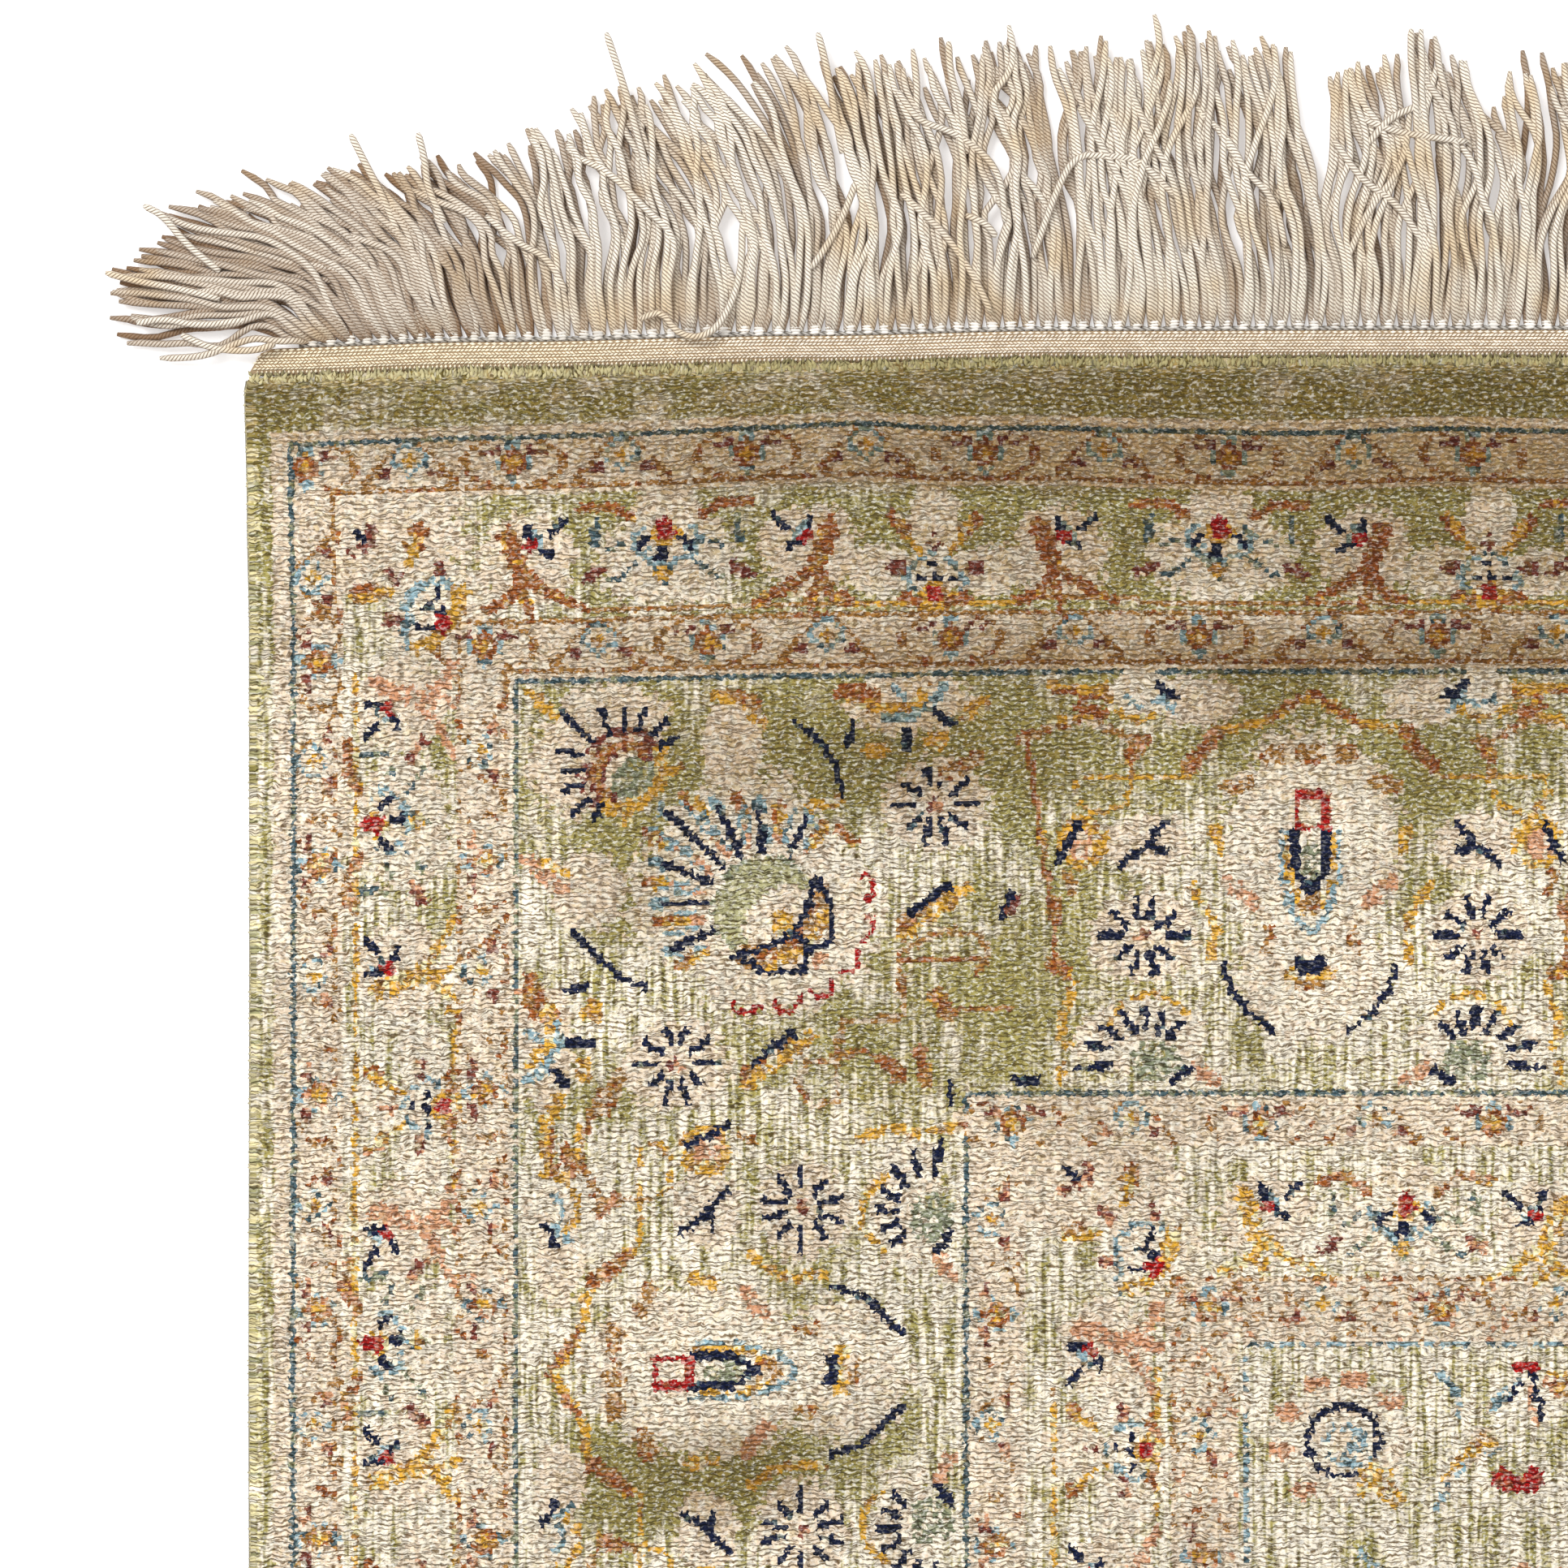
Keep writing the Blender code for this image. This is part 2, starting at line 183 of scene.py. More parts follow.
class Sock:
    """One value on its way between nodes. Python sums on it add Math nodes."""

    def __init__(self, tree: Tree, link: Any) -> None:
        """Keeps the tree and the output socket."""
        self.tree = tree
        self.link = link

    def _math(self, operation: str, *values: Sock | float) -> Sock:
        """Adds one Math node and returns its result."""
        made = self.tree.node("ShaderNodeMath", {"operation": operation}, dict(enumerate(values)))
        return Sock(self.tree, made.outputs[0])

    def __add__(self, other: Sock | float) -> Sock:
        """Returns the sum."""
        return self._math("ADD", self, other)

    def __sub__(self, other: Sock | float) -> Sock:
        """Returns the difference."""
        return self._math("SUBTRACT", self, other)

    def __rsub__(self, other: Sock | float) -> Sock:
        """Returns a number less this value."""
        return self._math("SUBTRACT", other, self)

    def __mul__(self, other: Sock | float) -> Sock:
        """Returns the product."""
        return self._math("MULTIPLY", self, other)

    def __truediv__(self, other: Sock | float) -> Sock:
        """Returns the quotient."""
        return self._math("DIVIDE", self, other)

    def __mod__(self, other: Sock | float) -> Sock:
        """Returns the remainder, never below zero."""
        return self._math("FLOORED_MODULO", self, other)

    __radd__ = __add__
    __rmul__ = __mul__

    def apply(self, operation: str, *values: Sock | float) -> Sock:
        """Returns a Math node's operation on this value, such as FLOOR or MINIMUM."""
        return self._math(operation, self, *values)

    def between(self, low: float, high: float) -> Sock:
        """Returns a soft 0 to 1 rise as this value goes from low to high."""
        made = self.tree.node(
            "ShaderNodeMapRange", {"interpolation_type": "SMOOTHSTEP"}, {0: self, 1: low, 2: high}
        )
        return Sock(self.tree, made.outputs[0])


class Tree:
    """A node tree with one way to make any node."""

    def __init__(self, tree: bpy.types.NodeTree) -> None:
        """Keeps the tree and empties it."""
        self.tree = tree
        tree.nodes.clear()

    def node(
        self, kind: str, settings: dict[str, Any] | None = None, sockets: dict[Any, Any] | None = None
    ) -> bpy.types.Node:
        """Makes a node, then its settings, then its sockets.

        Args:
            kind: Blender's name of the node type.
            settings: Properties, and "stops" for a ramp as (place, colour) pairs.
            sockets: Values or links, by socket name or number.

        Returns:
            The new node.
        """
        made = self.tree.nodes.new(kind)
        for name, value in (settings or {}).items():
            if name == "stops":
                self._stops(made.color_ramp, value)
            else:
                setattr(made, name, value)
        for name, value in (sockets or {}).items():
            self._fill(made.inputs[name], value)
        return made

    def out(self, kind: str, settings: dict[str, Any], sockets: dict[Any, Any], name: Any = 0) -> Sock:
        """Makes a node and returns one of its outputs."""
        return Sock(self, self.node(kind, settings, sockets).outputs[name])

    def _fill(self, socket: Any, value: Any) -> None:
        """Links a value to a socket, or sets it."""
        if isinstance(value, Sock):
            self.tree.links.new(value.link, socket)
        elif isinstance(value, tuple) and len(value) == 3 and socket.type == "RGBA":
            socket.default_value = (*value, 1.0)
        else:
            socket.default_value = value

    @staticmethod
    def _stops(ramp: bpy.types.ColorRamp, stops: Sequence[tuple[float, Colour]]) -> None:
        """Gives a ramp its stops."""
        while len(ramp.elements) < len(stops):
            ramp.elements.new(1.0)
        for element, (place, colour) in zip(ramp.elements, stops):
            element.position = place
            element.color = (*colour, 1.0)


class Shader(Tree):
    """A material's tree, with the nodes that cloth needs."""

    def __init__(self, name: str) -> None:
        """Makes the material."""
        self.material = bpy.data.materials.new(name)
        self.material.use_nodes = True
        super().__init__(self.material.node_tree)

    def place(self) -> Sock:
        """Returns the point on the rug, in metres."""
        return self.out("ShaderNodeTexCoord", {}, {}, "Object")

    def parts(self, vector: Sock) -> tuple[Sock, Sock, Sock]:
        """Returns a vector's three parts."""
        made = self.node("ShaderNodeSeparateXYZ", {}, {0: vector})
        return Sock(self, made.outputs[0]), Sock(self, made.outputs[1]), Sock(self, made.outputs[2])

    def join(self, x: Sock | float, y: Sock | float, z: Sock | float = 0.0) -> Sock:
        """Returns a vector made of three values."""
        return self.out("ShaderNodeCombineXYZ", {}, {0: x, 1: y, 2: z})

    def attribute(self, name: str, output: str = "Fac") -> Sock:
        """Returns one of the piece's own attributes."""
        return self.out("ShaderNodeAttribute", {"attribute_name": name}, {}, output)

    def uv(self, name: str) -> Sock:
        """Returns one of the piece's own UV maps."""
        return self.out("ShaderNodeUVMap", {"uv_map": name}, {})

    def noise(self, vector: Sock, scale: float, detail: float = 2.0, rough: float = 0.5) -> Sock:
        """Returns smooth noise from 0 to 1."""
        sockets = {"Vector": vector, "Scale": scale, "Detail": detail, "Roughness": rough}
        return self.out("ShaderNodeTexNoise", {}, sockets)

    def cell(self, vector: Sock, loose: float) -> Sock:
        """Returns the place of the nearest cell of a loose grid, whose cells are one unit apart."""
        settings = {"voronoi_dimensions": "2D", "feature": "F1"}
        sockets = {"Vector": vector, "Scale": 1.0, "Randomness": loose}
        return self.out("ShaderNodeTexVoronoi", settings, sockets, "Position")

    def chance(self, vector: Sock) -> Sock:
        """Returns one random value for each whole-number place."""
        return self.out("ShaderNodeTexWhiteNoise", {}, {"Vector": vector})

    def mix(
        self, first: Sock | Colour, second: Sock | Colour, share: Sock | float, how: str = "MIX"
    ) -> Sock:
        """Returns the first colour with the second laid over it."""
        settings = {"data_type": "RGBA", "blend_type": how}
        return self.out("ShaderNodeMix", settings, {0: share, 6: first, 7: second}, 2)

    def scaled(self, colour: Sock, level: Sock) -> Sock:
        """Returns a colour made lighter or darker."""
        return self.out("ShaderNodeVectorMath", {"operation": "SCALE"}, {0: colour, 3: level})

    def bump(self, height: Sock, depth_mm: float, strength: float) -> Sock:
        """Returns a normal for small relief of that depth."""
        sockets = {"Strength": strength, "Distance": depth_mm * MM, "Height": height}
        return self.out("ShaderNodeBump", {}, sockets)

    def finish(self, colour: Sock, normal: Sock, roughness: Sock | float, sheen: float) -> Material:
        """Ends the tree in a cloth surface and returns the material."""
        surface = self.node(
            "ShaderNodeBsdfPrincipled",
            {},
            {
                "Base Color": colour,
                "Roughness": roughness,
                "Normal": normal,
                "Sheen Weight": sheen,
                "Sheen Roughness": 0.4,
                "Specular IOR Level": 0.15,
            },
        )
        self.node("ShaderNodeOutputMaterial", {}, {0: Sock(self, surface.outputs[0])})
        return self.material


# --- meshes -------------------------------------------------------------------------------------


def new_piece(name: str, points: np.ndarray, faces: Sequence[Sequence[int]]) -> Piece:
    """Makes a smooth-shaded mesh object from points in millimetres."""
    mesh = bpy.data.meshes.new(name)
    mesh.from_pydata((points * MM).tolist(), [], faces)
    mesh.shade_smooth()
    piece = bpy.data.objects.new(name, mesh)
    bpy.context.scene.collection.objects.link(piece)
    return piece


def give_uv(piece: Piece, name: str, corners: np.ndarray) -> None:
    """Adds a UV map from one pair of values for each face corner."""
    layer = piece.data.uv_layers.new(name=name)
    layer.uv.foreach_set("vector", corners.astype(np.float32).ravel())


def give_value(piece: Piece, name: str, domain: str, values: np.ndarray) -> None:
    """Adds a float or vector attribute on the points or faces."""
    kind = "FLOAT_VECTOR" if values.ndim == 2 else "FLOAT"
    made = piece.data.attributes.new(name, kind, domain)
    made.data.foreach_set("vector" if values.ndim == 2 else "value", values.astype(np.float32).ravel())


def turned(points: np.ndarray) -> np.ndarray:
    """Returns points turned half round, for the other end or side of the rug."""
    return points * np.array([-1.0, -1.0, 1.0])


def ride_on_rug(piece: Piece, slot: str, *nodes: str) -> Piece:
    """Makes a piece ride on the rug's one body, in place of some solids."""
    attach(piece, ROOT)
    if nodes:
        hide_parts(*nodes)
    LOG.info("%s: %d faces", piece.name, len(piece.data.polygons))
    return piece


@dataclass
class Strands:
    """Many tubes of one kind in one mesh.

    Args:
        routes: Strand by step by XYZ, in millimetres.
        radii: Strand by step.
        sides: Sides of each tube.
        starts: Where each strand's twist starts, in millimetres.
        tones_and_shade: How light each strand is: a random tone with painted shade.
    """

    routes: np.ndarray
    radii: np.ndarray
    sides: int
    starts: np.ndarray | float = 0.0
    tones_and_shade: np.ndarray | float = 1.0

    def rings(self) -> np.ndarray:
        """Returns the points: strand by step by side by XYZ."""
        along = np.gradient(self.routes, axis=1)
        along /= np.linalg.norm(along, axis=2, keepdims=True) + 1e-9
        across = np.cross(along, np.array([0.0, 0.0, 1.0]))
        across /= np.linalg.norm(across, axis=2, keepdims=True) + 1e-9
        upward = np.cross(across, along)
        angle = np.arange(self.sides) * math.tau / self.sides
        level = np.cos(angle)[:, None] * across[:, :, None, :]
        upright = np.sin(angle)[:, None] * upward[:, :, None, :]
        return self.routes[:, :, None, :] + self.radii[:, :, None, None] * (level + upright)

    def faces(self) -> tuple[list[list[int]], np.ndarray]:
        """Returns the faces and their UV: round the tube, and millimetres along it."""
        strands, steps = self.routes.shape[:2]
        length = np.linalg.norm(np.diff(self.routes, axis=1), axis=2)
        starts = np.broadcast_to(self.starts, strands)[:, None]
        run = starts + np.concatenate([np.zeros((strands, 1)), np.cumsum(length, axis=1)], axis=1)
        base = np.arange(strands)[:, None, None] * steps * self.sides
        step = np.arange(steps - 1)[None, :, None]
        side = np.arange(self.sides)[None, None, :]
        after = (side + 1) % self.sides
        here = base + step * self.sides
        quads = np.stack(
            [here + side, here + self.sides + side, here + self.sides + after, here + after], axis=-1
        ).reshape(-1, 4)
        around = np.broadcast_to(side / self.sides, here.shape[:2] + (self.sides,))
        low = np.broadcast_to(run[:, :-1, None], around.shape)
        high = np.broadcast_to(run[:, 1:, None], around.shape)
        next_side = around + 1 / self.sides
        uv = np.stack([around, low, around, high, next_side, high, next_side, low], axis=-1)
        found = quads.tolist()
        ring = np.arange(self.sides)
        caps = []
        for strand in range(strands):
            first = strand * steps * self.sides
            found.append((first + ring).tolist())
            found.append((first + (steps - 1) * self.sides + ring[::-1]).tolist())
            for place in (run[strand, 0], run[strand, -1]):
                caps.append(np.tile([0.5, place], (self.sides, 1)))
        return found, np.concatenate([uv.reshape(-1, 2), *caps])

    def piece(self, name: str, half_turn: bool) -> Piece:
        """Makes the object, turned half round for the far end if asked."""
        points = self.rings().reshape(-1, 3)
        faces, uv = self.faces()
        made = new_piece(name, turned(points) if half_turn else points, faces)
        give_uv(made, "strand", uv)
        strands, steps = self.routes.shape[:2]
        # each strand's tone with its painted shade, for the finish to read
        tones_and_shade = np.repeat(np.broadcast_to(self.tones_and_shade, strands), steps * self.sides)
        give_value(made, "tone_and_shade", "POINT", tones_and_shade)
        return made


@dataclass(frozen=True)
class Grain:
    """One small shape that Geometry Nodes repeat: its facets, and how unevenly it lies."""

    segments: int = 4
    rings: int = 3
    turn_jitter: float = 0.1
    size_jitter: float = 0.12
    seed: int = 3


class Repeater(Tree):
    """A Geometry Nodes tree that lays one grain on each loose point of a base mesh."""

    def __init__(self, name: str, material: Material) -> None:
        """Builds the tree with named inputs.

        Args:
            name: The tree's name.
            material: What the grains and the base are made of.
        """
        self.group = bpy.data.node_groups.new(name, "GeometryNodeTree")
        super().__init__(self.group)
        self.keys: dict[str, str] = {}
        for label, kind in (
            ("Base", "Geometry"), ("Segments", "Int"), ("Rings", "Int"),
            ("Turn Jitter", "Float"), ("Size Jitter", "Float"), ("Seed", "Int"),
        ):
            made = self.group.interface.new_socket(label, in_out="INPUT", socket_type="NodeSocket" + kind)
            self.keys[label] = made.identifier
        self.group.interface.new_socket("Piece", in_out="OUTPUT", socket_type="NodeSocketGeometry")
        self._wire(material)

    def _wire(self, material: Material) -> None:
        """Makes and joins the nodes."""
        def luck(low: Sock | float, high: Sock | float, number: Sock) -> Sock:
            sockets = {2: low, 3: high, 8: number}
            return self.out("FunctionNodeRandomValue", {"data_type": "FLOAT"}, sockets, 1)

        given = self.node("NodeGroupInput")
        base, segments, rings, turn, size, seed = [Sock(self, given.outputs[i]) for i in range(6)]
        loose = self.out("GeometryNodeInputNamedAttribute", {"data_type": "FLOAT"}, {0: "loose"})
        parted = self.node("GeometryNodeSeparateGeometry", {"domain": "POINT"}, {0: base, 1: loose})
        grain = self.out("GeometryNodeMeshUVSphere", {}, {0: segments, 1: rings, 2: 1.0})
        lie = self.out("GeometryNodeInputNamedAttribute", {"data_type": "FLOAT_VECTOR"}, {0: "lie"})
        reach = self.out("GeometryNodeInputNamedAttribute", {"data_type": "FLOAT_VECTOR"}, {0: "reach"})
        swing = luck(turn * -1.0, turn, seed)
        swell = luck(1.0 - size, size + 1.0, seed + 1.0)
        shade = luck(0.0, 1.0, seed + 2.0)
        spun = self.out("ShaderNodeCombineXYZ", {}, {2: swing})
        lying = self.out("ShaderNodeVectorMath", {"operation": "ADD"}, {0: lie, 1: spun})
        sized = self.out("ShaderNodeVectorMath", {"operation": "SCALE"}, {0: reach, 3: swell})
        laid = self.out(
            "GeometryNodeInstanceOnPoints",
            {},
            {0: Sock(self, parted.outputs[0]), 2: grain, 5: lying, 6: sized},
        )
        shaded = self.out(
            "GeometryNodeStoreNamedAttribute",
            {"data_type": "FLOAT", "domain": "INSTANCE"},
            {0: laid, 2: "shade", 3: shade},
        )
        joined = self.node("GeometryNodeJoinGeometry")
        real = self.out("GeometryNodeRealizeInstances", {}, {0: shaded})
        self.tree.links.new(real.link, joined.inputs[0])
        self.tree.links.new(parted.outputs[1], joined.inputs[0])
        smoothed = self.out("GeometryNodeSetShadeSmooth", {}, {0: Sock(self, joined.outputs[0])})
        dressed = self.out("GeometryNodeSetMaterial", {}, {0: smoothed, 2: material})
        self.node("NodeGroupOutput", {}, {0: dressed})

    def grown(self, base: Piece, grain: Grain, name: str) -> Piece:
        """Turns a base mesh with loose points into a plain mesh with a grain on each of them.

        Args:
            base: The mesh, with loose, lie and reach attributes on its points.
            grain: The repeated shape.
            name: The new piece's name.

        Returns:
            The finished piece.
        """
        modifier = base.modifiers.new("grains", "NODES")
        modifier.node_group = self.group
        for label, value in (
            ("Segments", grain.segments), ("Rings", grain.rings), ("Turn Jitter", grain.turn_jitter),
            ("Size Jitter", grain.size_jitter), ("Seed", grain.seed),
        ):
            modifier[self.keys[label]] = value
        graph = bpy.context.evaluated_depsgraph_get()
        mesh = bpy.data.meshes.new_from_object(base.evaluated_get(graph))
        mesh.name = name
        base.modifiers.remove(modifier)
        bpy.data.objects.remove(base)
        piece = bpy.data.objects.new(name, mesh)
        bpy.context.scene.collection.objects.link(piece)
        return piece


@dataclass
class Grains:
    """The places of a piece's grains, gathered row by row."""

    spots: list[np.ndarray] = field(default_factory=list)
    lies: list[np.ndarray] = field(default_factory=list)
    reaches: list[np.ndarray] = field(default_factory=list)

    def add(
        self, x: np.ndarray, y: np.ndarray, z: np.ndarray | float, turn: np.ndarray | float, reach: Triple
    ) -> None:
        """Adds a row of grains.

        Args:
            x: Where across the rug.
            y: Where along it.
            z: How high.
            turn: The grain's turn seen from above, in radians.
            reach: Half its length, width and thickness.
        """
        shape = np.broadcast_shapes(np.shape(x), np.shape(y), np.shape(z), np.shape(turn))
        x, y, z, turn = (np.broadcast_to(value, shape).ravel() for value in (x, y, z, turn))
        self.spots.append(np.stack([x, y, z], axis=1))
        self.lies.append(np.stack([turn * 0, turn * 0, turn], axis=1))
        self.reaches.append(np.tile(np.array(reach, float) * MM, (len(x), 1)))

    def grown(
        self,
        name: str,
        points: np.ndarray,
        faces: Sequence[Sequence[int]],
        half_turn: bool,
        grain: Grain,
        material: Material,
    ) -> Piece:
        """Makes a piece of one core and a grain on each gathered place.

        Args:
            name: The piece's name.
            points: The core's points.
            faces: The core's faces.
            half_turn: Whether it is for the far end or side of the rug.
            grain: The repeated shape.
            material: What the core and the grains are made of.

        Returns:
            The finished piece.
        """
        spots = np.concatenate([points.reshape(-1, 3), *self.spots])
        base = new_piece("base", turned(spots) if half_turn else spots, faces)
        solid = len(spots) - sum(len(spot) for spot in self.spots)
        lies = np.concatenate([np.zeros((solid, 3)), *self.lies])
        lies[:, 2] += math.pi * half_turn
        give_value(base, "loose", "POINT", (np.arange(len(spots)) >= solid).astype(float))
        give_value(base, "lie", "POINT", lies)
        give_value(base, "reach", "POINT", np.concatenate([np.zeros((solid, 3)), *self.reaches]))
        return Repeater(name, material).grown(base, grain, name)


def strip(
    across: np.ndarray, along: np.ndarray, up: np.ndarray
) -> tuple[np.ndarray, list[list[int]]]:
    """Closes a row of like sections into one solid.

    Args:
        across: X of each section's points, station by section point, or one value for a station.
        along: Y of them, in the same way.
        up: Z of them. The points run round the section the same way at each station.

    Returns:
        Its points and faces.
    """
    sections = np.stack(np.broadcast_arrays(across, along, up), axis=-1)
    stations, count = sections.shape[:2]
    index = np.arange(stations * count).reshape(stations, count)
    after = np.roll(index, -1, axis=1)
    quads = np.stack([index[:-1], after[:-1], after[1:], index[1:]], axis=-1).reshape(-1, 4)
    ends = [index[0, ::-1].tolist(), index[-1].tolist()]
    return sections.reshape(-1, 3), quads.tolist() + ends


# --- finishes -----------------------------------------------------------------------------------


class Yarn(IntEnum):
    """The dyed yarns of the pile, by their number in the chart."""

    GROUND = 0
    NAVY = 1
    SKY = 2
    TEAL = 3
    GOLD = 4
    RUST = 5
    RED = 6
    MAROON = 7
    SALMON = 8
    CREAM = 9
    PINK = 10
    SAGE = 11
    BLUE = 12
    OLIVE = 13
    TAN = 14
    PALE = 15


YARN_LETTERS = dict(zip("-nbtgrRmscpyBokl", Yarn))  # as they stand in the charts
YARN_COLOURS = {
    Yarn.GROUND: srgb(178, 166, 112), Yarn.NAVY: srgb(14, 24, 56), Yarn.SKY: srgb(142, 174, 184),
    Yarn.TEAL: srgb(72, 96, 104), Yarn.GOLD: srgb(220, 166, 52), Yarn.RUST: srgb(160, 88, 34),
    Yarn.RED: srgb(170, 14, 10), Yarn.MAROON: srgb(128, 62, 48), Yarn.SALMON: srgb(212, 152, 112),
    Yarn.CREAM: srgb(241, 229, 206), Yarn.PINK: srgb(232, 211, 184), Yarn.SAGE: srgb(136, 142, 112),
    Yarn.BLUE: srgb(62, 102, 160), Yarn.OLIVE: srgb(170, 166, 120), Yarn.TAN: srgb(172, 122, 58),
    Yarn.PALE: srgb(230, 218, 166),
}
DIGIT_BASE = 16
KNOTS_ACROSS_FACE = 5
KNOTS_DOWN_FACE = 4


@dataclass(frozen=True)
class PileFinish:
    """Short silky pile: dyed tufts in wavy rows, with painted highlights and painted shade by how they
    lean.
    """

    olive: Colour = srgb(164, 154, 88)
    light: Colour = srgb(245, 233, 210)
    # painted shade: the darker, warmer tint where the nap lies against the view
    deep: Colour = (0.46, 0.35, 0.2)
    # painted highlight: the near-white laid on the gleaming tufts
    painted_highlight: Colour = srgb(255, 252, 243)
    # painted shadow between the tufts and in the gaps between rows
    shadow: Colour = (0.13, 0.078, 0.02)
    drift: float = 2.6
    # how much of the painted highlight is laid on
    painted_gleam_share: float = 0.72

    def material(self) -> Material:
        """Builds the shader."""
        sh = Shader("pile")
        column, row, _ = sh.parts(sh.uv("knots"))
        spot = sh.place()
        # nap shade: where painted shade darkens and warms the silk seen against its nap
        nap = sh.attribute("nap")
        slip = sh.noise(spot, 640.0, 1.0) - 0.5
        slide = sh.noise(sh.join(row * 0.93 + 40.0, column * 0.97), 1.0, 1.0) - 0.5
        ripple = sh.noise(spot, 190.0, 2.0) - 0.5
        drift = (1.0 - nap * 0.6) * self.drift
        number = self._yarn_number(sh, column + slip * drift, row + slide * drift)
        wavy = row + ripple * 2.6 + slip * 0.45
        ribbed = (1.0 - nap * 1.15).apply("MAXIMUM", 0.0)
        own = sh.chance(sh.cell(sh.join((column + slide) * 0.72, wavy), 0.9))
        line = wavy.apply("FRACT") - 0.5
        # Painted shadow in the wavy gaps between rows of knots and on the unlit part of each tuft; lit is
        # what stays light.
        row_gap_shade = (line * line * 4.0).between(0.4, 0.95)
        lasting = sh.noise(sh.join(column * 0.18, row * 0.8), 1.0, 2.0).between(0.4, 0.56)
        grain = sh.noise(sh.join((column + slide) * 0.75, wavy * 1.6), 1.0, 2.0, 0.6).between(0.3, 0.53)
        lit = grain * (1.0 - row_gap_shade * (lasting * 0.85 + 0.15))
        rib = (sh.noise(sh.join(column * 0.9, row * 0.07), 1.0, 1.0, 0.6) - 0.5) * ribbed
        colour = self._yarn_colour(sh, column, row, number, own, rib)
        # Painted nap shade: darker and warmer where the nap lies against the view.
        lean = nap + (own - 0.5) * 0.5 - rib * 0.8
        colour = sh.mix(colour, self.deep, lean.between(0.0, 1.1), "MULTIPLY")
        colour = sh.scaled(colour, own * 0.45 + rib * 0.9 + 0.97 - nap * 0.34)
        colour = sh.mix(colour, self.shadow, (1.0 - lit) * (0.95 - nap * 0.36), "MULTIPLY")
        # Painted highlight: near-white gleams on the lit tufts, weaker on navy, dyed and warm yarns and
        # where the nap is shaded.
        gleam_noise = sh.noise(sh.join(column * 1.0 + row * 0.4, row * 1.5 - column * 0.2), 1.0, 2.0, 0.6)
        painted_gleam = gleam_noise.between(0.49, 0.64) * lit * (1.0 - nap * 0.5)
        dark = number.apply("COMPARE", 1.0, 0.5) * 0.6
        dyed = number.apply("GREATER_THAN", 0.5) * 0.2
        warm = (number - 5.5).apply("COMPARE", 0.0, 3.0) * 0.3
        painted_gleam_by_yarn = 1.0 - dark - dyed - warm
        colour = sh.mix(colour, self.painted_highlight, painted_gleam * painted_gleam_by_yarn * self.painted_gleam_share)
        height = lit + gleam_noise * 0.6
        return sh.finish(colour, sh.bump(height, 0.8, 0.7), 0.6 - painted_gleam * 0.1, 0.0)

    @staticmethod
    def _yarn_number(sh: Shader, column: Sock, row: Sock) -> Sock:
        """Reads the chart: one number for each knot, five to a value, four values to a face."""
        left, top, _ = sh.parts(sh.attribute("corner_knot", "Vector"))
        last_knot, last_line = KNOTS_ACROSS_FACE - 1.0, KNOTS_DOWN_FACE - 1.0
        knot = (column - left).apply("FLOOR").apply("MAXIMUM", 0.0).apply("MINIMUM", last_knot)
        line = (row - top).apply("FLOOR").apply("MAXIMUM", 0.0).apply("MINIMUM", last_line)
        picked: Sock | float = 0.0
        for number in range(KNOTS_DOWN_FACE):
            picked = sh.attribute(f"knots_{number}") * line.apply("COMPARE", number, 0.4) + picked
        share: Sock | float = 0.0
        for number in range(KNOTS_ACROSS_FACE):
            share = knot.apply("COMPARE", number, 0.4) * DIGIT_BASE**-number + share
        return (picked * share).apply("FLOOR") % DIGIT_BASE

    def _yarn_colour(self, sh: Shader, column: Sock, row: Sock, number: Sock, own: Sock, rib: Sock) -> Sock:
        """Dyes each knot, with the ground's own clouds, streaks and worn knots."""
        stops = [(index / DIGIT_BASE, YARN_COLOURS[Yarn(index)]) for index in range(DIGIT_BASE)]
        dyed = sh.out("ShaderNodeValToRGB", {"stops": stops}, {0: (number + 0.5) / DIGIT_BASE})
        dyed.link.node.color_ramp.interpolation = "CONSTANT"
        bar = sh.noise(sh.join(column * 0.06, row * 0.6), 1.0, 2.0, 0.7) - 0.5
        patch = sh.noise(sh.join(column * 0.1, row * 0.1), 1.0, 3.0, 0.62) - 0.5
        swing = sh.attribute("nap") * 1.2 + 1.9
        green = sh.attribute("olive") + (own - 0.5) * 0.3 - rib * 2.7 + bar * 0.4 + patch * swing
        ground = sh.mix(self.light, self.olive, green.between(0.0, 0.8))
        bare = number.apply("LESS_THAN", 0.5)
        faded = own.between(0.6, 1.0) * 0.3 * number.apply("GREATER_THAN", 1.5)
        colour = sh.mix(dyed, ground, (faded + bare).apply("MINIMUM", 1.0))
        return sh.scaled(colour, sh.attribute("shade") + patch * 0.4)


